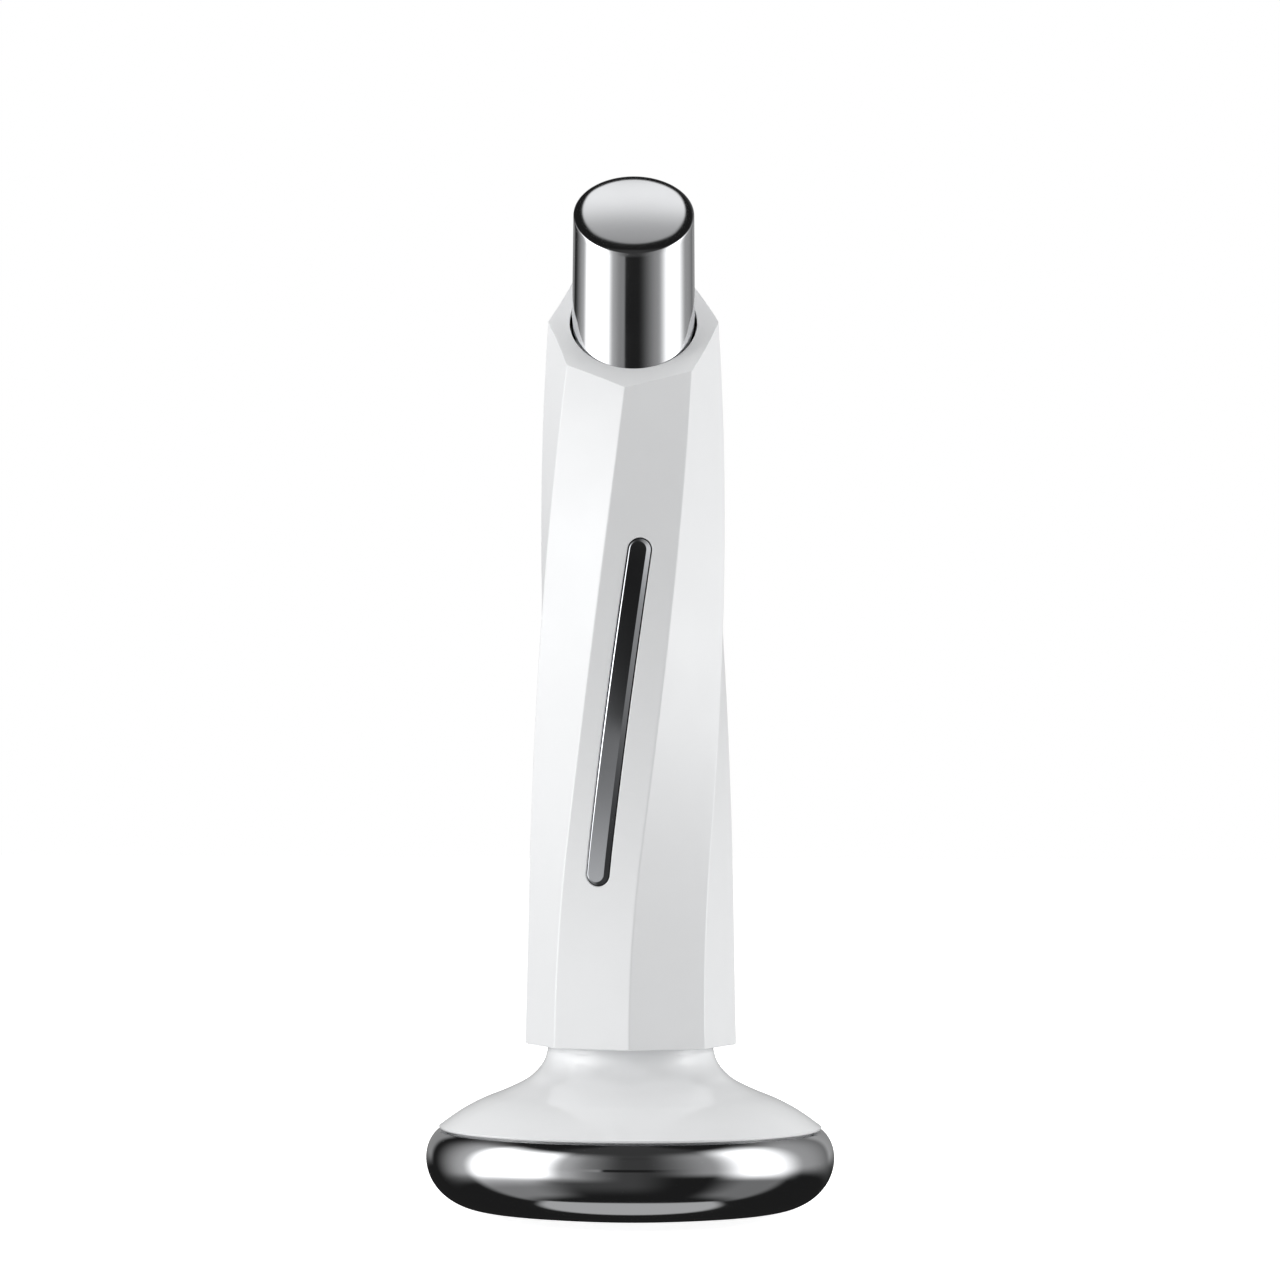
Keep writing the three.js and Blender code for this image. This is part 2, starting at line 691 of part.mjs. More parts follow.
// Rubber ring between the skirt's lip and the disc's wall.
function discSeal() {
  const outer = skirtRimRadius - discRimWidth - seatGap;
  const top = skirtBottom - lipDepth - seatGap;
  return ring(outer - lipWall, outer + seatGap, top - lipWall, top, mediumSides);
}

// Plate that presses the heater on the disc: a round plate with three ears and openings for the leads.
function heaterClamp() {
  let clamp = rod(clampPlateRadius, [0, 0, clampBottom], [0, 0, clampTop], mediumSides);
  for (const [x, y] of clampPlaces) {
    clamp = clamp.add(rod(clampEarRadius, [x, y, clampBottom], [x, y, clampTop]));
  }
  for (const [x, y] of clampPlaces) {
    const hole = rod(screwShankRadius + shankGap, [x, y, clampBottom - overrun], [x, y, clampTop + overrun]);
    clamp = clamp.subtract(hole);
  }
  const beadHole = rod(leadRadius + seatGap, [beadPlace, 0, clampBottom - overrun], [beadPlace, 0, clampTop + overrun]);
  return clamp
    .subtract(rod(clampHoleRadius, [0, 0, clampBottom - overrun], [0, 0, clampTop + overrun], mediumSides))
    .subtract(beadHole);
}

// Sideways place of the temperature bead, beside the heater and on the pad.
const beadPlace = heaterRadius + seatGap + beadRadius;

function thermistorBead() {
  const low = heaterBottom;
  const bead = new THREE.SphereGeometry(beadRadius, smallSides, smallSides / 2);
  return solidOf(bead.translate(beadPlace, 0, low + beadRadius));
}

// Stamped ring terminal under the rear clamp screw, with its crimp barrel pointing to the middle.
const terminalBottom = clampTop + seatGap;
const terminalTop = terminalBottom + terminalThickness;

function ringTerminal() {
  const [x, y] = clampPlaces[0];
  const outer = screwShankRadius + shankGap + terminalReach;
  const tongue = [x - leadRadius - seatGap, y - terminalBarrel, terminalBottom];
  return rod(outer, [x, y, terminalBottom], [x, y, terminalTop])
    .add(block(tongue, [x + leadRadius + seatGap, y, terminalTop]))
    .subtract(rod(screwShankRadius + shankGap, [x, y, terminalBottom - overrun], [x, y, terminalTop + overrun]));
}

// Frame radius is the bore's less a gap; a slice of it between two heights, less a wall.
function frameSlice(bottom, top, inset) {
  const low = coreRadius(bottom) - frameGap - inset;
  const high = coreRadius(top) - frameGap - inset;
  return turned([[0, bottom], [low, bottom], [high, top], [0, top]], mediumSides);
}

// Height of the board screws, in the middle of the two ribs.
const boardScrewHeights = [middleRibBottom + ribThickness / 2, upperRibBottom + ribThickness / 2];
const boardScrewSides = [1, -1];

// Moulded frame: half shell at the front, end plates, two ribs, screw bosses and a cradle for the cell.
function innerFrame() {
  const wide = 2 * handleBottomRadius;
  const opening = block([-wide, frameBack, frameBottom - overrun], [wide, wide, frameTop + overrun]);
  const bossTop = frameBottom + bossHeight;
  let frame = frameSlice(frameBottom, frameTop, 0)
    .subtract(frameSlice(frameBottom - overrun, frameTop + overrun, frameWall))
    .subtract(opening);
  for (const bottom of [middleRibBottom, upperRibBottom]) {
    const spare = block([-wide, boardFront - seatGap, bottom - overrun], [wide, wide, bottom + wide]);
    frame = frame.add(frameSlice(bottom, bottom + ribThickness, 0).subtract(spare));
  }
  frame = frame
    .add(frameSlice(frameBottom, frameBottom + framePlate, 0))
    .add(frameSlice(frameTop - frameTopPlate, frameTop, 0));
  for (const side of [-1, 1]) {
    const x = side * baseScrewSpread;
    frame = frame.add(rod(bossRadius, [x, baseScrewBack, frameBottom], [x, baseScrewBack, bossTop]));
  }
  for (const side of [-1, 1]) {
    const x = side * baseScrewSpread;
    const biteTop = frameBottom + baseScrewBite + seatGap;
    const low = [x, baseScrewBack, frameBottom - overrun];
    frame = frame.subtract(rod(screwShankRadius + shankGap, low, [x, baseScrewBack, biteTop]));
    const top = [side * carrierScrewSpread, 0, frameTop + overrun];
    const under = [side * carrierScrewSpread, 0, frameTop - frameTopPlate - overrun];
    frame = frame.subtract(rod(screwShankRadius + shankGap, under, top));
  }
  boardScrewHeights.forEach((height, index) => {
    const x = boardScrewSides[index] * boardScrewSpread;
    const biteEnd = boardFront - seatGap - screwBite;
    frame = frame.subtract(rod(screwShankRadius + shankGap, [x, biteEnd, height], [x, wide, height]));
  });
  const pinDepth = frameGap + frameWall + wallDepth(pegHeights[2]) + seatGap;
  const tabReach = tongueWidth / 2 + seatGap;
  const tabRoom = block([-tongueAside - tabReach, cellCentre, cellBottom - seatGap - tabThickness],
    [tabReach - tongueAside, wide, cellBottom]);
  return frame
    .subtract(tabRoom)
    .subtract(rod(cellRadius + seatGap, [0, cellCentre, cellBottom], [0, cellCentre, cellTop], mediumSides))
    .subtract(rod(leadHoleRadius, [0, leadLine, frameBottom - overrun], [0, leadLine, boardBottom + seatGap]))
    .subtract(rod(motorHoleRadius, [0, 0, frameTop - frameTopPlate - overrun], [0, 0, frameTop + overrun]))
    .subtract(facetRod(pinRadius + seatGap, frontFacet, pegHeights[2], -pinDepth - overrun, 0));
}

// Cell with rounded ends and a raised positive end.
function batteryCell() {
  const shoulder = cellRadius - cellEdge;
  const profile = [
    [0, 0], [shoulder, 0], [cellRadius, cellEdge], [cellRadius, cellLength - cellEdge], [shoulder, cellLength],
    [cellNubRadius, cellLength], [cellNubRadius, cellLength + cellNubRise], [0, cellLength + cellNubRise],
  ];
  return turned(profile, mediumSides / 2 + mediumSides / 4);
}

// Nickel tab welded across a cell end, with a tongue that runs back to the board at a distance to the side.
function cellTab(bottom, aside) {
  const half = tabWidth / 2;
  const front = cellCentre - half;
  const top = bottom + tabThickness;
  return block([Math.min(-half, aside - tongueWidth / 2), front, bottom], [half, cellCentre + half, top])
    .add(block([aside - tongueWidth / 2, front, bottom], [aside + tongueWidth / 2, boardFront - seatGap, top]));
}

// Board with holes for its two screws.
function mainBoard() {
  let board = block([-boardHalfWidth, boardFront, boardBottom], [boardHalfWidth, boardBack, boardTop]);
  boardScrewHeights.forEach((height, index) => {
    const x = boardScrewSides[index] * boardScrewSpread;
    const from = [x, boardFront - overrun, height];
    board = board.subtract(rod(screwShankRadius + shankGap, from, [x, boardBack + overrun, height]));
  });
  return board;
}

// Push switch: a square body with a blind hole for its plunger.
const switchAside = facetPoint(buttonHeight, backFacet).x;
const switchBack = boardBack + seatGap + switchHeight;

function tactSwitch() {
  const half = switchWidth / 2;
  const floor = boardBack + seatGap + switchFloor;
  return block([switchAside - half, boardBack + seatGap, buttonHeight - half],
    [switchAside + half, switchBack, buttonHeight + half])
    .subtract(rod(plungerRadius + slideGap, [switchAside, floor, buttonHeight],
      [switchAside, switchBack + overrun, buttonHeight]));
}

function switchPlunger() {
  return rod(plungerRadius, [switchAside, plungerBack - plungerLength, buttonHeight],
    [switchAside, plungerBack, buttonHeight]);
}

// Button: a capsule whose face follows the twisted facet, on a wider flange inside the wall.
function powerButton() {
  const surface = facetPoint(buttonHeight, backFacet);
  const depth = Math.hypot(surface.x, surface.y);
  const flangeOuter = flangeBack - depth;
  const flangeInner = flangeOuter - buttonFlangeThickness;
  const face = twistedOctagon(buttonHeight - buttonLength, buttonHeight + buttonLength, buttonProud);
  const flangeWidth = buttonWidth + 2 * buttonFlangeReach;
  const flangeLength = buttonLength + 2 * buttonFlangeReach;
  return facetPlug(buttonWidth, buttonLength, backFacet, buttonHeight, flangeInner, overrun)
    .intersect(face)
    .add(facetPlug(flangeWidth, flangeLength, backFacet, buttonHeight, flangeInner, flangeOuter));
}

// Light window: a short light pipe with a flange behind the wall, its face flush with the facet.
function levelLens(height) {
  const aside = facetPoint(height, backFacet).x;
  const flangeRadius = lensRadius + lensFlangeReach;
  const back = coreDepth(height + flangeRadius, Math.abs(aside) + flangeRadius) - seatGap;
  const stem = [aside, boardBack + seatGap + ledHeight + seatGap, height];
  return rod(lensRadius, stem, [aside, 2 * handleBottomRadius, height])
    .intersect(twistedOctagon(height - 2 * lensPitch, height + 2 * lensPitch, 0))
    .add(rod(flangeRadius, [aside, back - lensFlangeThickness, height], [aside, back, height]));
}

function levelLed(height) {
  const aside = facetPoint(height, backFacet).x;
  const half = ledWidth / 2;
  const back = boardBack + seatGap;
  return block([aside - half, back, height - half / 2], [aside + half, back + ledHeight, height + half / 2]);
}

// Flat package on the back of the board, with its corners cut off by a given amount.
function surfacePackage(width, rise, height, corner) {
  const half = width / 2;
  const shape = new THREE.Shape([
    [half - corner, -half], [half, corner - half], [half, half - corner], [half - corner, half],
    [corner - half, half], [-half, half - corner], [-half, corner - half], [corner - half, -half],
  ].map(([x, y]) => new THREE.Vector2(x, y)));
  const geometry = new THREE.ExtrudeGeometry(shape, { depth: rise, bevelEnabled: false });
  return solidOf(geometry.rotateX(-Math.PI / 2).translate(0, boardBack + seatGap, height));
}

// Charging socket: a metal shell open to the back, and its contact tongue.
function chargingSocket() {
  const half = socketWidth / 2;
  const tall = socketHeight / 2;
  const rear = boardBack + seatGap;
  const inner = half - socketWall;
  const innerTall = tall - socketWall;
  return block([socketAside - half, rear, chargeHeight - tall], [socketAside + half, socketMouth, chargeHeight + tall])
    .subtract(block([socketAside - inner, rear + socketWall, chargeHeight - innerTall],
      [socketAside + inner, socketMouth + overrun, chargeHeight + innerTall]));
}

function socketTongue() {
  const half = tongueThickness / 2;
  const tall = socketHeight / 2 - socketWall - tongueMargin;
  const rear = boardBack + seatGap + socketWall + seatGap;
  return block([socketAside - half, rear, chargeHeight - tall],
    [socketAside + half, socketMouth - tongueMargin, chargeHeight + tall]);
}

// Carrier of the drive: a flange under the guide's ledge and a cup inside the tip cap.
function tipCarrier() {
  const floorTop = carrierBottom + carrierFloor;
  const cupTop = floorTop + carrierCupDepth;
  const cupRadius = carrierRadius - carrierWall;
  const flangeTop = carrierBottom + carrierFlangeThickness;
  const flangeRadius = coreRadius(flangeTop) - frameGap;
  let carrier = turned([
    [0, carrierBottom], [flangeRadius, carrierBottom], [flangeRadius, flangeTop], [carrierRadius, flangeTop],
    [carrierRadius, cupTop], [cupRadius, cupTop], [cupRadius, floorTop], [0, floorTop],
  ], mediumSides);
  for (const side of [-1, 1]) {
    const x = side * carrierScrewSpread;
    const from = [x, 0, carrierBottom - overrun];
    carrier = carrier.subtract(rod(screwShankRadius + shankGap, from, [x, 0, carrierBottom + screwBite + seatGap]));
  }
  const hole = rod(motorHoleRadius, [0, 0, carrierBottom - overrun], [0, 0, floorTop + overrun]);
  return carrier.subtract(hole);
}

// Motor: a can with a blind bore for the shaft, in a rubber sleeve.
const motorRadius = carrierRadius - carrierWall - seatGap - cradleWall - seatGap;
const motorBottom = carrierBottom + carrierFloor + seatGap;
const shaftBottom = motorBottom + motorLength - shaftSeat;
const weightBottom = motorBottom + motorLength + weightRise;

function motorCan() {
  const edge = motorRadius / 10;
  const bossRadiusHere = motorRadius / 2;
  const top = motorBottom + motorLength;
  const bore = shaftRadius + shankGap;
  return turned([
    [0, motorBottom], [motorRadius - edge, motorBottom], [motorRadius, motorBottom + edge],
    [motorRadius, top - 2 * edge], [motorRadius - edge, top - edge], [bossRadiusHere, top - edge],
    [bossRadiusHere, top], [bore, top], [bore, shaftBottom - seatGap], [0, shaftBottom - seatGap],
  ], mediumSides / 2 + mediumSides / 4);
}

function motorCradle() {
  return ring(motorRadius + seatGap, motorRadius + seatGap + cradleWall, motorBottom, motorBottom + cradleLength,
    mediumSides);
}

// Half-round weight on a hub, which shakes the tip as it turns.
function eccentricWeight() {
  const shape = new THREE.Shape();
  shape.absarc(0, 0, weightRadius, 0, Math.PI);
  shape.absarc(0, 0, weightHubRadius, Math.PI, 2 * Math.PI);
  const settings = { depth: weightLength, curveSegments: smallSides / 2, bevelEnabled: false };
  const bore = rod(shaftRadius + shankGap, [0, 0, -overrun], [0, 0, weightLength + overrun]);
  return solidOf(new THREE.ExtrudeGeometry(shape, settings)).subtract(bore);
}

// Sprung pin behind the strip's upper peg: plunger through the frame's wall, flange and tail behind it.
const pinTip = pegReserve - wallDepth(pegHeights[2]) - seatGap;
const pinFlangeOuter = pinTip - frameGap - frameWall - seatGap;
const pinEnd = pinFlangeOuter - pinFlangeThickness - pinTail;

function stripContactPin() {
  return facetRod(pinRadius, frontFacet, pegHeights[2], pinEnd, pinTip)
    .add(facetRod(pinRadius + pinFlangeReach, frontFacet, pegHeights[2], pinFlangeOuter - pinFlangeThickness,
      pinFlangeOuter));
}

// Pan-head screw along +Z, with its head below the seat at height zero.
function screw(length) {
  const crown = screwHeadHeight / 3;
  return turned([
    [0, -screwHeadHeight], [screwHeadRadius - crown, -screwHeadHeight], [screwHeadRadius, crown - screwHeadHeight],
    [screwHeadRadius, 0], [screwShankRadius, 0], [screwShankRadius, length - screwShankRadius / 2],
    [screwShankRadius / 2, length], [0, length],
  ], screwSides);
}

// Insulated lead along a smooth line through a few points.
function lead(points) {
  const route = new THREE.CatmullRomCurve3(points.map((point) => new THREE.Vector3(...point)), false, 'centripetal');
  const corners = Array.from({ length: leadSides }, (_, side) => {
    const angle = side * 2 * Math.PI / leadSides;
    return new THREE.Vector2(leadRadius * Math.cos(angle), leadRadius * Math.sin(angle));
  });
  return solidOf(new THREE.ExtrudeGeometry(new THREE.Shape(corners), { steps: leadSteps, extrudePath: route }));
}

// Finishes.
const whiteAbs = { color: 0xf3f4f5, roughness: 0.25, metalness: 0 };
const polishedSteel = { color: 0xc9cbcd, roughness: 0.08, metalness: 1 };
const chrome = { color: 0xb9bcc0, roughness: 0.05, metalness: 1 };
const blackRubber = { color: 0x17181a, roughness: 0.7, metalness: 0 };
const greyNylon = { color: 0x8b9096, roughness: 0.55, metalness: 0 };
const steel = { color: 0x8f9397, roughness: 0.3, metalness: 1 };
const nickel = { color: 0xc4c0b4, roughness: 0.3, metalness: 1 };
const boardGreen = { color: 0x1f6a43, roughness: 0.45, metalness: 0 };
const blackPlastic = { color: 0x1c1d20, roughness: 0.5, metalness: 0 };
const cellWrap = { color: 0x2f6fb2, roughness: 0.4, metalness: 0 };
const clearLens = { color: 0xe6ecf2, roughness: 0.2, metalness: 0 };
const ceramic = { color: 0xe9e4d8, roughness: 0.6, metalness: 0 };
const aluminium = { color: 0xb4b7ba, roughness: 0.35, metalness: 1 };
const brass = { color: 0xc2a45a, roughness: 0.3, metalness: 1 };
const redLead = { color: 0xb3201c, roughness: 0.5, metalness: 0 };
const blackLead = { color: 0x1a1a1c, roughness: 0.5, metalness: 0 };
const whiteLead = { color: 0xdadada, roughness: 0.5, metalness: 0 };

const massager = new THREE.Group();

// Puts a solid into the group as a named mesh, at a place and with a turn of its own.
function addPiece(name, solid, finish, place = [0, 0, 0], turn = [0, 0, 0]) {
  const { vertProperties, triVerts } = solid.getMesh();
  const geometry = new THREE.BufferGeometry();
  geometry.setAttribute('position', new THREE.BufferAttribute(new Float32Array(vertProperties), 3));
  geometry.setIndex(new THREE.BufferAttribute(new Uint32Array(triVerts), 1));
  geometry.computeVertexNormals();
  const mesh = new THREE.Mesh(geometry, new THREE.MeshStandardMaterial(finish));
  mesh.name = name;
  mesh.position.set(...place);
  mesh.rotation.set(...turn);
  massager.add(mesh);
}

// Outside.
addPiece('handle_sleeve', handleSleeve(), whiteAbs);
addPiece('contact_strip', contactStrip(), chrome);
addPiece('strip_gasket', stripGasket(), blackRubber);
addPiece('tip_cap', tipCap(), polishedSteel);
addPiece('tip_seal', tipSeal(), blackRubber);
addPiece('base_skirt', baseSkirt(), whiteAbs);
addPiece('neck_seal', neckSeal(), blackRubber);
addPiece('face_disc', faceDisc(), polishedSteel);
addPiece('disc_seal', discSeal(), blackRubber);

// Drive in the tip.
addPiece('tip_carrier', tipCarrier(), greyNylon);
addPiece('motor_can', motorCan(), steel);
addPiece('motor_cradle', motorCradle(), blackRubber);
addPiece('rotor_shaft', rod(shaftRadius, [0, 0, 0], [0, 0, shaftLength]), steel, [0, 0, shaftBottom]);
addPiece('eccentric_weight', eccentricWeight(), brass, [0, 0, weightBottom]);

// Frame, cell and board.
addPiece('inner_frame', innerFrame(), greyNylon);
addPiece('battery_cell', batteryCell(), cellWrap, [0, cellCentre, cellBottom]);
addPiece('cell_tab_top', cellTab(cellTop + cellNubRise + seatGap, 0), nickel);
addPiece('cell_tab_bottom', cellTab(cellBottom - seatGap - tabThickness, -tongueAside), nickel);
addPiece('main_board', mainBoard(), boardGreen);
addPiece('tact_switch', tactSwitch(), blackPlastic);
addPiece('switch_plunger', switchPlunger(), greyNylon);
addPiece('power_button', powerButton(), whiteAbs);
lensHeights.forEach((height, dot) => {
  addPiece(`level_lens_${dot + 1}`, levelLens(height), clearLens);
  addPiece(`level_led_${dot + 1}`, levelLed(height), ceramic);
});
const chipPlace = lerp(chargeHeight, buttonHeight, chipShare);
const inductorPlace = lerp(chargeHeight, buttonHeight, inductorShare);
addPiece('control_chip', surfacePackage(chipWidth, chipHeight, chipPlace, chipHeight / 3), blackPlastic);
addPiece('coil_inductor', surfacePackage(inductorWidth, inductorHeight, inductorPlace, inductorHeight / 3), steel);
const capacitorLow = [-socketAside, boardBack + seatGap, chargeHeight];
const capacitorWall = coreDepth(chargeHeight + capacitorRadius, Math.abs(socketAside) + capacitorRadius);
const capacitorHigh = [-socketAside, capacitorWall - capacitorToWall, chargeHeight];
addPiece('buffer_capacitor', rod(capacitorRadius, capacitorLow, capacitorHigh), aluminium);
addPiece('charging_socket', chargingSocket(), steel);
addPiece('socket_tongue', socketTongue(), blackPlastic);
const connectorBottom = boardBottom + connectorLift;
addPiece('lead_connector', block([-connectorWidth / 2, connectorBack - connectorDepth, connectorBottom],
  [connectorWidth / 2, connectorBack, connectorBottom + connectorLength]), ceramic);
addPiece('strip_contact_pin', stripContactPin(), brass);

// Warm side of the disc.
addPiece('thermal_pad', rod(padRadius, [0, 0, 0], [0, 0, padThickness], mediumSides), ceramic, [0, 0, padBottom]);
addPiece('heater_plate', rod(heaterRadius, [0, 0, 0], [0, 0, heaterThickness], mediumSides), ceramic,
  [0, 0, heaterBottom]);
addPiece('heater_clamp', heaterClamp(), aluminium);
addPiece('thermistor_bead', thermistorBead(), blackPlastic);
addPiece('ring_terminal', ringTerminal(), brass);

// Screws: clamp screws point down, base and carrier screws up, board screws forwards.
clampPlaces.forEach(([x, y], turn) => {
  const seat = turn === 0 ? terminalTop + seatGap : clampTop + seatGap;
  const length = seat - clampBottom + screwBite;
  addPiece(`clamp_screw_${turn + 1}`, screw(length), steel, [x, y, seat], [Math.PI, 0, 0]);
});
['left', 'right'].forEach((name, index) => {
  const side = 2 * index - 1;
  const baseSeat = bulkheadBottom - seatGap;
  const baseLength = frameBottom + baseScrewBite - baseSeat;
  addPiece(`base_screw_${name}`, screw(baseLength), steel, [side * baseScrewSpread, baseScrewBack, baseSeat]);
  const carrierSeat = frameTop - frameTopPlate - seatGap;
  const carrierLength = carrierBottom + screwBite - carrierSeat;
  addPiece(`carrier_screw_${name}`, screw(carrierLength), steel, [side * carrierScrewSpread, 0, carrierSeat]);
});
['lower', 'upper'].forEach((name, index) => {
  const seat = [boardScrewSides[index] * boardScrewSpread, boardBack + seatGap, boardScrewHeights[index]];
  addPiece(`board_screw_${name}`, screw(seatGap + boardThickness + screwBite), steel, seat, [Math.PI / 2, 0, 0]);
});

// Leads from the disc to the connector, from the motor to the board, and from the strip's pin to the board.
const riseStart = clampTop + bulkheadThickness;
const riseEnd = connectorBottom - seatGap;
function riser(start, column, bend) {
  const x = (column - 3 / 2) * leadPitch;
  return lead([start, bend, [x, leadLine, bulkheadBottom], [x, leadLine, spigotTop], [x, leadLine, riseEnd]]);
}
const heaterTop = heaterBottom + heaterThickness + seatGap;
const heaterSpread = clampHoleRadius / 2;
addPiece('heater_lead_red', riser([-heaterSpread, 0, heaterTop], 0, [-heaterSpread, 0, riseStart]), redLead);
addPiece('heater_lead_black', riser([heaterSpread, 0, heaterTop], 1, [heaterSpread, 0, riseStart]), blackLead);
const terminalEnd = clampPlaces[0][1] - terminalBarrel - seatGap - leadRadius;
const terminalMiddle = terminalBottom + terminalThickness / 2;
addPiece('disc_lead', riser([0, terminalEnd, terminalMiddle], 2, [0, neckRadius - neckWall, flareTop / 2]), whiteLead);
const beadTop = heaterBottom + 2 * beadRadius + seatGap;
addPiece('thermistor_lead', riser([beadPlace, 0, beadTop], 3, [beadPlace, 0, riseStart]), blackLead);
['red', 'black'].forEach((name, index) => {
  const x = (2 * index - 1) * motorLeadSpread;
  const drop = frameTop - frameTopPlate - motorLeadDrop;
  addPiece(`motor_lead_${name}`, lead([
    [x, 0, motorBottom - seatGap], [x, 0, frameTop - frameTopPlate], [x, boardFront / 2, drop + motorLeadDrop / 3],
    [x, boardFront - seatGap, drop],
  ]), index === 0 ? redLead : blackLead);
});
const pinRear = new THREE.Vector3(0, 0, pinEnd - seatGap).applyMatrix4(facetFrame(pegHeights[2], frontFacet));
const slack = leadPitch;
addPiece('strip_lead', lead([
  pinRear.toArray(), [pinRear.x, pinRear.y / 2, pinRear.z - slack], [pinRear.x, boardFront / 2, pinRear.z - slack],
  [pinRear.x, boardFront - seatGap, pinRear.z],
]), whiteLead);

export default massager;
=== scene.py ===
# Facial massager with two heads: a twisted white octagonal handle, a slanted polished tip above and a
# polished disc below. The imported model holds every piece; here the outer ones are made as fine meshes, every
# piece gets the finish of its material, and a plain white studio is set up round them.

import json
import math

import bpy
from mathutils import Matrix, Vector

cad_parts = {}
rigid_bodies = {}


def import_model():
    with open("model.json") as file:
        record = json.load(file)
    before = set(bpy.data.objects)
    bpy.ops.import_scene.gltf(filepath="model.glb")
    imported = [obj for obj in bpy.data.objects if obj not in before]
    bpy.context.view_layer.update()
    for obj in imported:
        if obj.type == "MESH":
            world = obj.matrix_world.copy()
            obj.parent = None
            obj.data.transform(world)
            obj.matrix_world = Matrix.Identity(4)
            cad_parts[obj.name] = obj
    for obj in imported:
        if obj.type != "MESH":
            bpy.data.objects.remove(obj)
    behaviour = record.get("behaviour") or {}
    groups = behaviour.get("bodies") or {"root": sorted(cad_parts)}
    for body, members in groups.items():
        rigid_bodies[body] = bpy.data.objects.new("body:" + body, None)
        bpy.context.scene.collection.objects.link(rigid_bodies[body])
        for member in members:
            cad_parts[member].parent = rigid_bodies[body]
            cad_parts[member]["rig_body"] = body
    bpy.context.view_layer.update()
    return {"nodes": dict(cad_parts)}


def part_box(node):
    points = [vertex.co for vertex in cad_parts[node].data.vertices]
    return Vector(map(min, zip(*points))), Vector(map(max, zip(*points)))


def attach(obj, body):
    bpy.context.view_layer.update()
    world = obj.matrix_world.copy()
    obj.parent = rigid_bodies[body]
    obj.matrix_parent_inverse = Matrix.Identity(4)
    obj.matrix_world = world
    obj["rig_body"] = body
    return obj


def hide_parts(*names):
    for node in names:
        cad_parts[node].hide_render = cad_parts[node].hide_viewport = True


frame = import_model()
mm = 0.001


# Face disc: one deep-drawn stainless steel shell, 60 mm across and polished to a mirror. It has a small flat,
# a shallow dome and a rolled edge below, and a shoulder above that closes in on the skirt.
def linear(colour):
    """Linear colour of an sRGB hex value."""
    parts = [int(colour[place:place + 2], 16) / 255 for place in (0, 2, 4)]
    return [part / 12.92 if part <= 0.04045 else ((part + 0.055) / 1.055) ** 2.4 for part in parts] + [1]


def add_node(tree, kind, settings=None, sockets=None):
    """Adds a node with its settings. A socket gets a value, or is linked to the output of another node."""
    node = tree.nodes.new(kind)
    for name, value in (settings or {}).items():
        setattr(node, name, value)
    for name, value in (sockets or {}).items():
        if isinstance(value, bpy.types.NodeSocket):
            tree.links.new(value, node.inputs[name])
        else:
            node.inputs[name].default_value = value
    return node


def new_material(name):
    """Empty node material, with its tree and the place of each point on the piece."""
    material = bpy.data.materials.new(name)
    material.use_nodes = True
    material.node_tree.nodes.clear()
    place = add_node(material.node_tree, "ShaderNodeTexCoord").outputs["Object"]
    return material, material.node_tree, place


# Noise seldom leaves these two values, and the finest skins and hairlines are this high at most.
noise_low = 0.2
noise_high = 0.8
skin_height = 0.01 * mm


def uneven(tree, vector, spot_mm, low, high):
    """A value that drifts between two limits, in soft spots of a real size."""
    spots = add_node(tree, "ShaderNodeTexNoise", sockets={
        "Vector": vector, "Scale": 1 / (spot_mm * mm), "Detail": 2})
    limits = {0: spots.outputs[0], 1: noise_low, 2: noise_high, 3: low, 4: high}
    return add_node(tree, "ShaderNodeMapRange", {"interpolation_type": "SMOOTHSTEP"}, limits).outputs[0]


gloss_spot_mm = 9
gloss_least_share = 0.85
gloss_most_share = 1.2


def metal(name, colour, roughness, hairline_mm, stretch, hairline_depth):
    """Metal with hairlines, long on the axes whose stretch is small, and a gloss that drifts a little."""
    material, tree, place = new_material(name)
    drawn_out = add_node(tree, "ShaderNodeMapping", sockets={"Vector": place, "Scale": stretch})
    hairlines = add_node(tree, "ShaderNodeTexNoise", sockets={
        "Vector": drawn_out.outputs[0], "Scale": 1 / (hairline_mm * mm), "Detail": 3})
    bump = add_node(tree, "ShaderNodeBump", sockets={
        "Strength": hairline_depth, "Distance": skin_height, "Height": hairlines.outputs[0]})
    surface = add_node(tree, "ShaderNodeBsdfPrincipled", sockets={
        "Base Color": linear(colour), "Metallic": 1, "Normal": bump.outputs[0], "Roughness": uneven(
            tree, place, gloss_spot_mm, roughness * gloss_least_share, roughness * gloss_most_share)})
    add_node(tree, "ShaderNodeOutputMaterial", sockets={"Surface": surface.outputs[0]})
    return material


def finish_piece(piece, name, node, material, smooth_below=30):
    """Names a finished piece, gives it its material, and lets it stand for its CAD node."""
    bpy.ops.object.mode_set(mode="OBJECT")
    bpy.ops.object.select_all(action="DESELECT")
    piece.select_set(True)
    bpy.context.view_layer.objects.active = piece
    bpy.ops.object.transform_apply(location=True, rotation=True, scale=True)
    bpy.ops.object.shade_smooth_by_angle(angle=math.radians(smooth_below))
    piece.name = name
    piece.data.name = name
    piece.data.materials.clear()
    piece.data.materials.append(material)
    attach(piece, frame["nodes"][node]["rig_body"])
    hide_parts(node)


# Corners that lie closer than this are one.
touching = mm / 1000


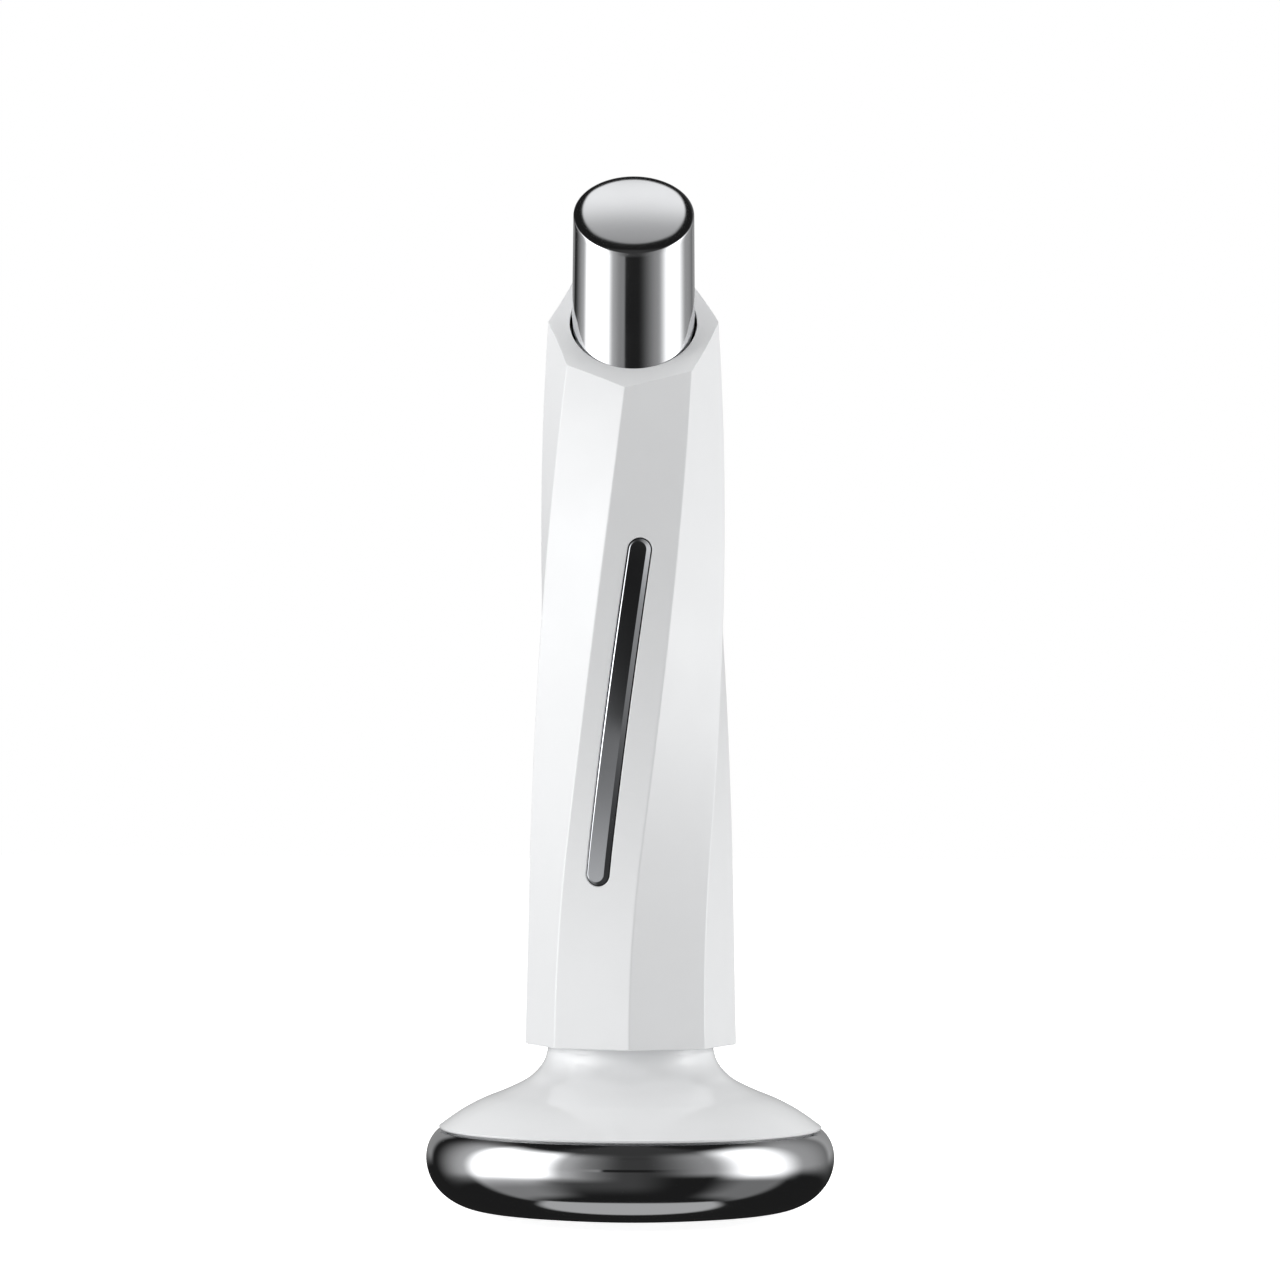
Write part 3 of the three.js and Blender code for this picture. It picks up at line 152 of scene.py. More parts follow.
def turned(points, steps):
    """Turns a profile of (radius, height) points about the upright axis, as on a lathe."""
    bpy.ops.object.select_all(action="DESELECT")
    bpy.ops.mesh.primitive_plane_add(size=mm)
    piece = bpy.context.object
    bpy.ops.object.mode_set(mode="EDIT")
    bpy.ops.mesh.select_all(action="SELECT")
    bpy.ops.mesh.merge(type="CENTER")
    bpy.ops.transform.translate(value=(points[0][0], 0, points[0][1]))
    for start, end in zip(points, points[1:]):
        step = (end[0] - start[0], 0, end[1] - start[1])
        bpy.ops.mesh.extrude_region_move(TRANSFORM_OT_translate={"value": step})
    bpy.ops.mesh.select_all(action="SELECT")
    bpy.ops.mesh.spin(steps=steps, angle=2 * math.pi, center=(0, 0, 0), axis=(0, 0, 1))
    bpy.ops.mesh.select_all(action="SELECT")
    bpy.ops.mesh.remove_doubles(threshold=touching)
    bpy.ops.mesh.normals_make_consistent(inside=False)
    bpy.ops.object.mode_set(mode="OBJECT")
    return piece


def arc(centre, height, reach, rise, start, end, steps):
    """Points of an arc of an ellipse, from one angle in degrees to another."""
    turns = [math.radians(start + (end - start) * step / steps) for step in range(steps + 1)]
    return [(centre + reach * math.cos(turn), height + rise * math.sin(turn)) for turn in turns]


fine_steps = 160
disc_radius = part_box("face_disc")[1].x
disc_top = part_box("face_disc")[1].z
disc_waist = 8.85 * mm
roll_reach = 8.5 * mm
roll_rise = 7.6 * mm
roll_start = -83
shoulder_reach = 3.6 * mm
shoulder_rise = 4.7 * mm
disc_flat = 6.97 * mm
disc_floor = 1.6 * mm
disc_wall = 1.3 * mm
disc_rim_inner = 27.15 * mm
disc_rim_round = 0.2 * mm
dome_steps = 16
roll_steps = 30
shoulder_steps = 18
inside_steps = 16

roll_centre = disc_radius - roll_reach
roll = arc(roll_centre, disc_waist, roll_reach, roll_rise, roll_start, 0, roll_steps)
shoulder_end = math.degrees(math.asin((disc_top - disc_rim_round - disc_waist) / shoulder_rise))
shoulder = arc(
    disc_radius - shoulder_reach, disc_waist, shoulder_reach, shoulder_rise, 0, shoulder_end, shoulder_steps)
roll_slope = -roll_rise / roll_reach / math.tan(math.radians(roll_start))
dome_turn = Vector((roll[0][0] - roll[0][1] / roll_slope, 0))
dome = []
for step in range(dome_steps):
    share = step / dome_steps
    inner = Vector((disc_flat, 0)).lerp(dome_turn, share)
    outer = dome_turn.lerp(Vector(roll[0]), share)
    dome.append(tuple(inner.lerp(outer, share)))
inside = arc(
    roll_centre, disc_waist, roll_reach - disc_wall, roll_rise - disc_wall, 0, roll_start, inside_steps)
disc = turned(
    [(0, 0)] + dome + roll + shoulder[1:]
    + [(shoulder[-1][0] - disc_rim_round, disc_top), (disc_rim_inner, disc_top), (disc_rim_inner, disc_waist)]
    + inside + [(disc_flat, disc_floor), (0, disc_floor)], fine_steps)
# Mirror-polished stainless steel: bright and sharp reflections with a trace of haze, no visible grain.
mirror_steel = metal("mirror_polished_stainless_steel", "E4E5E7", roughness=0.07, hairline_mm=0.5,
                     stretch=(0.1, 0.1, 1), hairline_depth=0.02)
finish_piece(disc, "face_disc_shell", "face_disc", mirror_steel)


# Base skirt: a glossy white ABS moulding whose neck flares out to the disc. Its lip enters the disc from
# above, and its neck goes up into the handle, where a ring seals it.
flow_tint_share = 0.985
skin_least_share = 0.9
skin_most_share = 1.1


def moulded(name, colour, roughness, index, spot_mm, grain_mm, grain_depth):
    """Moulded plastic or rubber: a colour with faint flow marks and a fine skin."""
    material, tree, place = new_material(name)
    full = linear(colour)
    marks = [part * flow_tint_share for part in full[:3]] + [1]
    tint = add_node(tree, "ShaderNodeMix", {"data_type": "RGBA"}, {
        0: uneven(tree, place, spot_mm, 0, 1), 6: full, 7: marks})
    skin = add_node(tree, "ShaderNodeTexNoise", sockets={
        "Vector": place, "Scale": 1 / (grain_mm * mm), "Detail": 2})
    bump = add_node(tree, "ShaderNodeBump", sockets={
        "Strength": grain_depth, "Distance": skin_height, "Height": skin.outputs[0]})
    surface = add_node(tree, "ShaderNodeBsdfPrincipled", sockets={
        "Base Color": tint.outputs[2], "IOR": index, "Normal": bump.outputs[0], "Roughness": uneven(
            tree, place, spot_mm, roughness * skin_least_share, roughness * skin_most_share)})
    add_node(tree, "ShaderNodeOutputMaterial", sockets={"Surface": surface.outputs[0]})
    return material


def smooth_line(points, steps):
    """Smooth line through points, with a few steps between each two of them."""
    line = []
    ends = [points[0], *points, points[-1]]
    for four in zip(ends, ends[1:], ends[2:], ends[3:]):
        for step in range(steps):
            t = step / steps
            weights = (2 * t * t - t ** 3 - t, 3 * t ** 3 - 5 * t * t + 2,
                       4 * t * t - 3 * t ** 3 + t, t ** 3 - t * t)
            line.append(tuple(
                sum(w / 2 * point[axis] for w, point in zip(weights, four)) for axis in (0, 1)))
    return line + [points[-1]]


skirt_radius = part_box("base_skirt")[1].x
spigot_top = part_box("base_skirt")[1].z
lip_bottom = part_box("base_skirt")[0].z
handle_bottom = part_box("handle_sleeve")[0].z
neck_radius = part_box("neck_seal")[1].x
seal_play = 0.1 * mm
seal_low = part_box("neck_seal")[0].z - seal_play
seal_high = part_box("neck_seal")[1].z + seal_play
seal_groove_depth = 0.95 * mm
seal_seat = neck_radius - seal_groove_depth
skirt_gap = 0.3 * mm
skirt_low = disc_top + skirt_gap
skirt_edge_height = 0.35 * mm
skirt_edge = skirt_low + skirt_edge_height
skirt_edge_round = 0.2 * mm
flare_gap = 0.8 * mm
flare_top = handle_bottom - flare_gap
flare_shares = [
    (1, 0), (0.8, 0.2), (0.603, 0.35), (0.395, 0.47), (0.205, 0.602), (0.096, 0.73), (0.03, 0.862), (0, 1)]
flare_steps = 6
skirt_wall = 1.5 * mm
wall_across_share = 0.6
wall_down_share = 0.8
flare_inside_from = 0.3 * mm
neck_wall = 2 * mm
neck_inner = neck_radius - neck_wall
bulkhead_wall = 2.6 * mm
bulkhead = spigot_top - bulkhead_wall
lip_play = 0.3 * mm
lip_outer = disc_rim_inner - lip_play
lip_wall = 1.2 * mm
lip_inner = lip_outer - lip_wall
spigot_bevel = 0.4 * mm
edge_steps = 5

flare_across = skirt_radius - neck_radius
flare_up = flare_top - skirt_edge
flare_points = [(neck_radius + flare_across * across, skirt_edge + flare_up * up)
                for across, up in flare_shares]
flare = smooth_line(flare_points, flare_steps)
flare_inside = [(radius - skirt_wall * wall_across_share, height - skirt_wall * wall_down_share)
                for radius, height in flare if neck_radius + flare_inside_from < radius < lip_inner]
skirt = turned(
    [(0, bulkhead), (neck_inner, bulkhead), (neck_inner, flare_top - 2 * skirt_wall)] + flare_inside[::-1]
    + [(lip_inner, skirt_low), (lip_inner, lip_bottom), (lip_outer, lip_bottom), (lip_outer, skirt_low)]
    + arc(skirt_radius - skirt_edge_round, skirt_edge, skirt_edge_round, skirt_edge - skirt_low, -90, 0,
          edge_steps)
    + flare[1:]
    + [(neck_radius, seal_low), (seal_seat, seal_low), (seal_seat, seal_high), (neck_radius, seal_high),
       (neck_radius, spigot_top - spigot_bevel), (neck_radius - spigot_bevel, spigot_top), (0, spigot_top)],
    fine_steps)
# Glossy moulded ABS: a bright, slightly cool white with soft, wide highlights.
glossy_white = moulded("glossy_moulded_white_abs", "F4F5F6", roughness=0.11, index=1.53,
                       spot_mm=7, grain_mm=0.3, grain_depth=0.02)
finish_piece(skirt, "skirt_and_neck", "base_skirt", glossy_white)


# Handle sleeve: one white ABS moulding. Its octagon tapers, swells a little and turns an eighth of a round
# on the way up; a slanted cut ends it, its edges are softened, and it is bored for the tip and the frame.
facets = 8
handle_length = 106.8 * mm
bottom_corner = 15.62 * mm
top_corner = 12.57 * mm
handle_swell = 0.62 * mm
bottom_turn = math.radians(-0.7)
full_turn = math.radians(46)
turn_delay = 3.3 * mm
turn_ease = 26.6 * mm
rim_height = handle_bottom + handle_length
rim_slant = math.tan(math.radians(37.8))
corner_set_back = 0.22 * mm
corner_steps = 5
sleeve_steps = 54
strip_facet = 0
back_facet = 4


def corner_radius(height):
    """Radius of the handle over its corners at a height. The swell's curve peaks at 4 / 27 of its factor."""
    rise = (height - handle_bottom) / handle_length
    swell = handle_swell * 27 / 4 * rise ** 2 * (1 - rise)
    return bottom_corner + (top_corner - bottom_corner) * rise + swell


def turn_at(height):
    """Turn of the octagon at a height: it starts gently above the lower edge and grows evenly above that."""
    climb = max(height - handle_bottom - turn_delay, 0)
    eased = climb ** 2 / (2 * turn_ease) if climb < turn_ease else climb - turn_ease / 2
    return bottom_turn + full_turn * eased / (handle_length - turn_delay - turn_ease / 2)


def facet_middle(height, facet):
    """Middle of a facet at a height, and its bearing."""
    bearing = turn_at(height) + (facet - 0.5) * 2 * math.pi / facets
    depth = corner_radius(height) * math.cos(math.pi / facets)
    return Vector((depth * math.sin(bearing), -depth * math.cos(bearing), height)), bearing


def facet_frame(height, facet):
    """Turn that lays X across a facet, Y up along it and Z outwards."""
    bearing = facet_middle(height, facet)[1]
    span = handle_length / 30
    along = facet_middle(height + span, facet)[0] - facet_middle(height - span, facet)[0]
    along.normalize()
    outward = Vector((math.cos(bearing), math.sin(bearing), 0)).cross(along).normalized()
    return Matrix((along.cross(outward), along, outward)).transposed()


def lay_on_facet(piece, facet, height, rigid=False):
    """Carries a flat piece, X across and Y up, to a facet. A long one twists with it, a rigid one doesn't."""
    for corner in piece.data.vertices:
        level = height if rigid else height + corner.co.y
        local = Vector((corner.co.x, corner.co.y if rigid else 0, corner.co.z))
        corner.co = facet_middle(level, facet)[0] + facet_frame(level, facet) @ local


def pick(piece, chosen):
    """Opens a piece for editing with the corners selected that pass a test, and what lies between them."""
    if bpy.context.mode != "OBJECT":
        bpy.ops.object.mode_set(mode="OBJECT")
    bpy.ops.object.select_all(action="DESELECT")
    bpy.context.view_layer.objects.active = piece
    mesh = piece.data
    for corner in mesh.vertices:
        corner.select = chosen(corner.co)
    for part in [*mesh.edges, *mesh.polygons]:
        part.select = all(mesh.vertices[end].select for end in part.vertices)
    bpy.ops.object.mode_set(mode="EDIT")


bar_end_corners = 48


def bar(width, length, low, high, steps):
    """Bar with round ends, X across and Y along. It stays in edit mode, with its upper face selected."""
    half = (length - width) / 2
    bpy.ops.object.select_all(action="DESELECT")
    bpy.ops.mesh.primitive_circle_add(vertices=bar_end_corners, radius=width / 2, fill_type="NOTHING")
    piece = bpy.context.object
    pick(piece, lambda corner: corner.y > touching)
    bpy.ops.mesh.delete(type="VERT")
    bpy.ops.mesh.select_all(action="SELECT")
    bpy.ops.mesh.edge_face_add()
    bpy.ops.transform.translate(value=(0, -half, low))
    bpy.ops.mesh.duplicate()
    bpy.ops.transform.rotate(value=math.pi, orient_axis="Z", center_override=(0, 0, 0))
    pick(piece, lambda corner: abs(corner.y + half) < touching)
    for step in range(steps):
        bpy.ops.mesh.extrude_region_move(TRANSFORM_OT_translate={"value": (0, 2 * half / steps, 0)})
    bpy.ops.mesh.select_all(action="SELECT")
    bpy.ops.mesh.remove_doubles(threshold=touching)
    bpy.ops.mesh.normals_make_consistent(inside=False)
    bpy.ops.mesh.extrude_region_move(TRANSFORM_OT_translate={"value": (0, 0, high - low)})
    bpy.ops.mesh.select_all(action="SELECT")
    bpy.ops.mesh.normals_make_consistent(inside=False)
    pick(piece, lambda corner: corner.z > high - touching)
    return piece


def close_bar(piece):
    """Ends the edit of a bar with all its faces pointing out."""
    bpy.ops.mesh.select_all(action="SELECT")
    bpy.ops.mesh.normals_make_consistent(inside=False)
    bpy.ops.object.mode_set(mode="OBJECT")
    return piece


def cut(piece, tool, operation="DIFFERENCE"):
    """Cuts a tool's shape out of a piece, or joins it on. Twisted faces are first split into flat ones."""
    for part in (tool, piece):
        pick(part, lambda corner: True)
        bpy.ops.mesh.quads_convert_to_tris()
        bpy.ops.object.mode_set(mode="OBJECT")
    modifier = piece.modifiers.new("cut", "BOOLEAN")
    modifier.operation = operation
    modifier.solver = "EXACT"
    modifier.object = tool
    bpy.ops.object.modifier_apply(modifier=modifier.name)
    bpy.data.objects.remove(tool)


bpy.ops.object.select_all(action="DESELECT")
bottom_radius = corner_radius(handle_bottom)
bpy.ops.mesh.primitive_circle_add(vertices=facets, radius=bottom_radius, fill_type="NOTHING")
sleeve = bpy.context.object
bpy.ops.object.mode_set(mode="EDIT")
bpy.ops.mesh.select_all(action="SELECT")
bpy.ops.mesh.bevel(offset=corner_set_back, segments=corner_steps, affect="VERTICES")
bpy.ops.mesh.select_all(action="SELECT")
bpy.ops.transform.rotate(value=-bottom_turn, orient_axis="Z", center_override=(0, 0, 0))
bpy.ops.transform.translate(value=(0, 0, handle_bottom))
bpy.ops.mesh.edge_face_add()

# The lower edge is rounded by the first steps, and the rest go up past the rim.
overrun = mm
edge_round = 0.3 * mm
edge_height_shares = (0, 0.08, 0.3, 1)
edge_inset_shares = (1, 0.6, 0.22)
sleeve_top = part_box("handle_sleeve")[1].z + overrun
heights = [handle_bottom + edge_round * share for share in edge_height_shares]
climb = sleeve_top - heights[-1]
heights += [heights[-1] + climb * step / sleeve_steps for step in range(1, sleeve_steps + 1)]
insets = [edge_round * share for share in edge_inset_shares] + [0] * (sleeve_steps + 1)
axis_point = (0, 0, handle_bottom)
first_size = (bottom_radius - edge_round) / bottom_radius
bpy.ops.transform.resize(value=(first_size, first_size, 1), center_override=axis_point)
for low, high, low_inset, high_inset in zip(heights, heights[1:], insets, insets[1:]):
    grown = (corner_radius(high) - high_inset) / (corner_radius(low) - low_inset)
    bpy.ops.mesh.extrude_region_move(TRANSFORM_OT_translate={"value": (0, 0, high - low)})
    bpy.ops.transform.resize(value=(grown, grown, 1), center_override=axis_point)
    bpy.ops.transform.rotate(value=turn_at(low) - turn_at(high), orient_axis="Z", center_override=axis_point)

# The slanted rim is cut a little low, and two narrow insets then give its outer edge a soft line.
rim_round = 0.22 * mm
rim_normal = Vector((0, -rim_slant, 1)).normalized()
rim_shares = [(0.3, 0.55), (0.7, 0.45)]
rim_point = Vector((0, 0, rim_height)) - rim_normal * rim_round
bpy.ops.mesh.select_all(action="SELECT")
bpy.ops.mesh.bisect(plane_co=rim_point, plane_no=rim_normal, use_fill=True, clear_outer=True)
pick(sleeve, lambda corner: abs((corner - rim_point).dot(rim_normal)) < touching)
for inward, upward in rim_shares:
    bpy.ops.mesh.inset(thickness=rim_round * inward, depth=rim_round * upward, use_even_offset=True)
bpy.ops.mesh.select_all(action="SELECT")
bpy.ops.mesh.normals_make_consistent(inside=False)
bpy.ops.object.mode_set(mode="OBJECT")

# Bore, from the mouth for the skirt's neck up to the guide for the tip, with the groove of the snap bead and
# the slanted groove of the tip's seal.
mouth_radius = 12.53 * mm
mouth_chamfer = mm / 4
mouth_top = 33.8 * mm
snap_height = 31 * mm
snap_half = 0.8 * mm
snap_depth = mm / 2
core_bottom = 11.93 * mm
core_top = 10.39 * mm
guide_ledge = 110.5 * mm
guide_radius = 9.6 * mm
mouth_guide_radius = 9.42 * mm
seal_groove_radius = 10.4 * mm
seal_groove_low = 129.3 * mm
seal_groove_high = 131.3 * mm
bore_edge = 0.3 * mm
bore_edge_end = 100
rim_clearance = mm / 4
bore_overrun = 5 * mm


def lean(piece, above, slant):
    """Leans what stands above a height to a slant, which faces the front."""
    for corner in piece.data.vertices:
        if corner.co.z > above:
            corner.co.z += corner.co.y * slant


bore_rim_radius = mouth_guide_radius + bore_edge
bore = turned(
    [(0, handle_bottom - overrun), (mouth_radius + mouth_chamfer, handle_bottom - overrun),
     (mouth_radius + mouth_chamfer, handle_bottom), (mouth_radius, handle_bottom + mouth_chamfer),
     (mouth_radius, snap_height - snap_half), (mouth_radius + snap_depth, snap_height),
     (mouth_radius, snap_height + snap_half), (mouth_radius, mouth_top), (core_bottom, mouth_top),
     (core_top, guide_ledge), (guide_radius, guide_ledge), (guide_radius, seal_groove_low),
     (seal_groove_radius, seal_groove_low), (seal_groove_radius, seal_groove_high),
     (mouth_guide_radius, seal_groove_high)]
    + arc(bore_rim_radius, rim_height - bore_edge, bore_edge, bore_edge, 180, bore_edge_end, edge_steps)
    + [(bore_rim_radius, rim_height + rim_clearance), (bore_rim_radius, rim_height + bore_overrun),
       (0, rim_height + bore_overrun)], fine_steps)
lean(bore, (guide_ledge + seal_groove_low) / 2, rim_slant)
cut(sleeve, bore)

# Slot for the contact strip in the front facet, with three holes for its pegs.
strip_width = 3.2 * mm
strip_low = 51 * mm
strip_high = 98.2 * mm
strip_length = strip_high - strip_low + strip_width
strip_middle = (strip_low + strip_high) / 2
slot_play = 0.2 * mm
slot_depth = 1.4 * mm
slot_edge = 0.1 * mm
slot_steps = 40
aside_most = -0.6 * mm
aside_most_height = 68 * mm
aside_less = 0.44 * mm
aside_span = 30 * mm
peg_heights = [55 * mm, strip_middle, 94.2 * mm]
peg_radius = 0.8 * mm
peg_play = 0.15 * mm
peg_corners = 40
through_wall = -6 * mm


def lay_on_strip_line(piece, height, rigid=False):
    """Carries a piece to the front facet, where the strip's line runs a little left of the facet's middle."""
    for corner in piece.data.vertices:
        level = height if rigid else height + corner.co.y
        corner.co.x += aside_most + aside_less * ((level - aside_most_height) / aside_span) ** 2
    lay_on_facet(piece, strip_facet, height, rigid)


def peg(radius, low, high, height):
    """Round tool for a peg of the strip or its hole, between two depths."""
    bpy.ops.object.select_all(action="DESELECT")
    bpy.ops.mesh.primitive_cylinder_add(vertices=peg_corners, radius=radius, depth=high - low,
                                        location=(0, 0, (low + high) / 2))
    tool = bpy.context.object
    bpy.ops.object.transform_apply(location=True)
    lay_on_strip_line(tool, height, rigid=True)
    return tool


slot_width = strip_width + 2 * slot_play
slot_length = strip_length + 2 * slot_play
slot = bar(slot_width, slot_length, -slot_depth, -slot_edge, slot_steps)
bpy.ops.mesh.extrude_region_move(TRANSFORM_OT_translate={"value": (0, 0, 2 * slot_edge)})
bpy.ops.transform.resize(value=(1 + 4 * slot_edge / slot_width, 1 + 4 * slot_edge / slot_length, 1),
                         center_override=(0, 0, 0))
close_bar(slot)
lay_on_strip_line(slot, strip_middle)
cut(sleeve, slot)
for height in peg_heights:
    cut(sleeve, peg(peg_radius + peg_play, through_wall, -slot_depth / 2, height))

# Holes in the back facet: the button's, the three light windows' and the shallow bay round the socket.
button_height = 85.5 * mm
button_width = 6.4 * mm
button_length = 10.4 * mm
button_play = 0.3 * mm
lens_radius = 0.9 * mm
lens_play = 0.3 * mm
lens_hole_length = 20 * mm
charge_height = 51.9 * mm
bay_width = 6.2 * mm
bay_length = 10.8 * mm
bay_depth = 0.8 * mm
socket_play = 0.3 * mm
socket_hole_reach = 8 * mm
hole_width = button_width + 2 * button_play
hole_length = button_length + 2 * button_play
button_hole = close_bar(bar(hole_width, hole_length, through_wall, overrun, steps=1))
lay_on_facet(button_hole, back_facet, button_height, rigid=True)
cut(sleeve, button_hole)
lens_names = ["level_lens_1", "level_lens_2", "level_lens_3"]
for name in lens_names:
    low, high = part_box(name)
    bpy.ops.object.select_all(action="DESELECT")
    bpy.ops.mesh.primitive_cylinder_add(
        vertices=peg_corners, radius=lens_radius + lens_play, depth=lens_hole_length,
        location=((low.x + high.x) / 2, high.y, (low.z + high.z) / 2), rotation=(math.pi / 2, 0, 0))
    cut(sleeve, bpy.context.object)
bay = close_bar(bar(bay_width, bay_length, -bay_depth, overrun, steps=1))
lay_on_facet(bay, back_facet, charge_height, rigid=True)
cut(sleeve, bay)
socket_low, socket_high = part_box("charging_socket")
bpy.ops.object.select_all(action="DESELECT")
bpy.ops.mesh.primitive_cube_add(size=1, location=(socket_low + socket_high) / 2)
socket_hole = bpy.context.object
socket_hole.scale = [size + 2 * socket_play for size in socket_high - socket_low]
socket_hole.scale.y += socket_hole_reach
cut(sleeve, socket_hole)
# Moulded ABS of the same batch with a satin gloss, so each facet keeps one even tone.
satin_white = moulded("satin_moulded_white_abs", "F1F2F3", roughness=0.31, index=1.53,
                      spot_mm=8, grain_mm=0.3, grain_depth=0.03)
finish_piece(sleeve, "octagonal_sleeve", "handle_sleeve", satin_white)


def even_out(piece):
    """Lets the large faces of a piece keep an even sheen up to their softened edges."""
    even = piece.modifiers.new("even_faces", "WEIGHTED_NORMAL")
    even.keep_sharp = True
    even.weight = 100
    bpy.ops.object.modifier_apply(modifier=even.name)


even_out(sleeve)


# Contact strip: a long bar of polished, chrome-plated brass with bevelled edges, the left one narrower than
# the right, and round ends. It follows the facet's twist, stands just proud of it, and three pegs at its back
# hold it in the sleeve.
strip_proud = 0.15 * mm
strip_thickness = 0.85 * mm
strip_bevel = 0.395 * mm
strip_bevel_drop = 0.28 * mm
strip_face_aside = -0.265 * mm
strip_left_rise = 0.208 * mm
strip_steps = 64
peg_reach = -4.4 * mm
strip_rim = strip_proud - strip_bevel_drop
strip = bar(strip_width, strip_length, strip_proud - strip_thickness, strip_rim, strip_steps)
bpy.ops.mesh.inset(thickness=strip_bevel, depth=strip_bevel_drop)
bpy.ops.transform.translate(value=(strip_face_aside, 0, 0))
pick(strip, lambda corner: abs(corner.z - strip_rim) < touching)
bpy.ops.transform.rotate(value=-math.atan(strip_left_rise / strip_width), orient_axis="Y",
                         center_override=(strip_width / 2, 0, strip_rim))
close_bar(strip)
lay_on_strip_line(strip, strip_middle)
for height in peg_heights:
    cut(strip, peg(peg_radius, peg_reach, -strip_thickness / 2, height), "UNION")
# Chrome plating: a mirror a shade darker than steel, with faint lines from the polishing belt along it.
plated_chrome = metal("polished_chrome_plating", "D8DADE", roughness=0.1, hairline_mm=0.3,
                      stretch=(1, 1, 0.05), hairline_depth=0.02)
finish_piece(strip, "bevelled_contact_strip", "contact_strip", plated_chrome, smooth_below=10)
even_out(strip)


# Strip gasket and sealing rings: black silicone rubber, moulded. The gasket's black fills the gap round the
# strip and the tip's ring the gap at its foot, as painted shade: they make the thin dark line round the strip
# and the dark gap at the tip's foot. The rings of skirt and disc and the motor's cradle are hidden.
gasket_play = 0.8 * slot_play
gasket_fit = 0.02 * mm
gasket_foot = 0.1 * mm
gasket_bottom = -slot_depth + gasket_foot
gasket_floor = 0.2 * mm
gasket_peg_play = 0.05 * mm
gasket_cut_low = -3 * mm
gasket_width = strip_width + 2 * gasket_play
gasket_length = strip_length + 2 * gasket_play
# Its black top, sunk a little in the slot round the strip, is painted shade for the gap there.
gasket = bar(gasket_width, gasket_length, gasket_bottom, -slot_play, strip_steps)
bpy.ops.mesh.inset(thickness=gasket_play - gasket_fit, depth=0)
bpy.ops.mesh.extrude_region_move(
    TRANSFORM_OT_translate={"value": (0, 0, gasket_bottom + gasket_floor + slot_play)})
close_bar(gasket)
lay_on_strip_line(gasket, strip_middle)
for height in peg_heights:
    cut(gasket, peg(peg_radius + gasket_peg_play, gasket_cut_low, overrun, height))
# Moulded silicone rubber: a dense, dull black, which in the gaps round the strip and the tip is painted shade.
black_rubber_and_gap_shade = moulded("moulded_black_silicone_rubber_and_gap_shade", "141416", roughness=0.6, index=1.42,
                       spot_mm=3, grain_mm=0.15, grain_depth=0.1)
finish_piece(gasket, "strip_gasket_frame", "strip_gasket", black_rubber_and_gap_shade)


def dress(names, material):
    """Gives CAD nodes that are shown as they are the finish of their material."""
    for name in names:
        node = frame["nodes"][name]
        node.data.materials.clear()
        node.data.materials.append(material)


# The tip's seal ring, black in the gap at the tip's foot, is painted shade there; the others are hidden.
dress(["tip_seal", "neck_seal", "disc_seal", "motor_cradle"], black_rubber_and_gap_shade)


# Tip cap: a drawn stainless steel cap, polished, with an end face that slants almost as the handle's rim
# does. Its face is faintly domed, its edge is rolled over a wide, low curve, and it goes down into the
# handle's guide.
cap_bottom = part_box("tip_cap")[0].z
cap_bottom_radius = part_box("tip_cap")[1].x
cap_top_radius = 8.92 * mm
cap_slant = math.tan(math.radians(35.2))
cap_shoulder = 147.75 * mm
cap_roll_reach = 2.5 * mm
cap_roll_rise = 0.6 * mm
cap_face_slope = 0.083
cap_wall = 0.9 * mm
cap_lean_from = 129.4 * mm
cap_side_steps = 60
cap_roll_steps = 16
cap_face_steps = 8
cap_roll_end = math.degrees(math.atan(cap_roll_rise / cap_roll_reach / cap_face_slope))
cap_roll = arc(
    cap_top_radius - cap_roll_reach, cap_shoulder, cap_roll_reach, cap_roll_rise, 0, cap_roll_end,
    cap_roll_steps)
cap_face_radius, cap_top = cap_roll[-1]
cap_dome = cap_face_slope * cap_face_radius / 2
outer_side = [(cap_bottom_radius + (cap_top_radius - cap_bottom_radius) * step / cap_side_steps,
               cap_bottom + (cap_shoulder - cap_bottom) * step / cap_side_steps)
              for step in range(cap_side_steps)]
inner_side = [(radius - cap_wall, height) for radius, height in outer_side]
cap_ceiling = cap_top - cap_wall
cap_face = [(cap_face_radius * (1 - share), cap_top + cap_dome * (1 - (1 - share) ** 2))
            for share in (step / cap_face_steps for step in range(1, cap_face_steps + 1))]
cap = turned(
    [(0, cap_ceiling), (cap_face_radius, cap_ceiling),
     (cap_top_radius - cap_wall, cap_shoulder - cap_wall / 2)]
    + inner_side[::-1] + outer_side + cap_roll + cap_face, fine_steps)
lean(cap, cap_lean_from, cap_slant)
# Polished stainless steel with a slightly softer polish than the disc's, as on a small drawn cap.
cap_steel = metal("polished_stainless_steel_cap", "E2E3E5", roughness=0.1, hairline_mm=0.5,
                  stretch=(0.1, 0.1, 1), hairline_depth=0.03)
finish_piece(cap, "slanted_tip_cap", "tip_cap", cap_steel)


# Power button: a white ABS key in the back facet. It stands a little proud, has a rounded edge and a shallow
# dish for the fingertip, and a wider flange behind the wall keeps it in.
def soften(piece, width, steps, least_angle):
    """Rounds the edges of a piece that are sharper than an angle."""
    rounding = piece.modifiers.new("soft_edges", "BEVEL")
    rounding.width = width
    rounding.segments = steps
    rounding.limit_method = "ANGLE"
    rounding.angle_limit = math.radians(least_angle)
    bpy.context.view_layer.objects.active = piece
    bpy.ops.object.modifier_apply(modifier=rounding.name)


button_proud = 0.35 * mm
flange_reach = mm
flange_width = button_width + 2 * flange_reach
flange_length = button_length + 2 * flange_reach
flange_low = -4.88 * mm
flange_high = -2.6 * mm
key_overlap = 0.1 * mm
key_edge = 0.3 * mm
key_steps = 24
dish_depth = 0.25 * mm
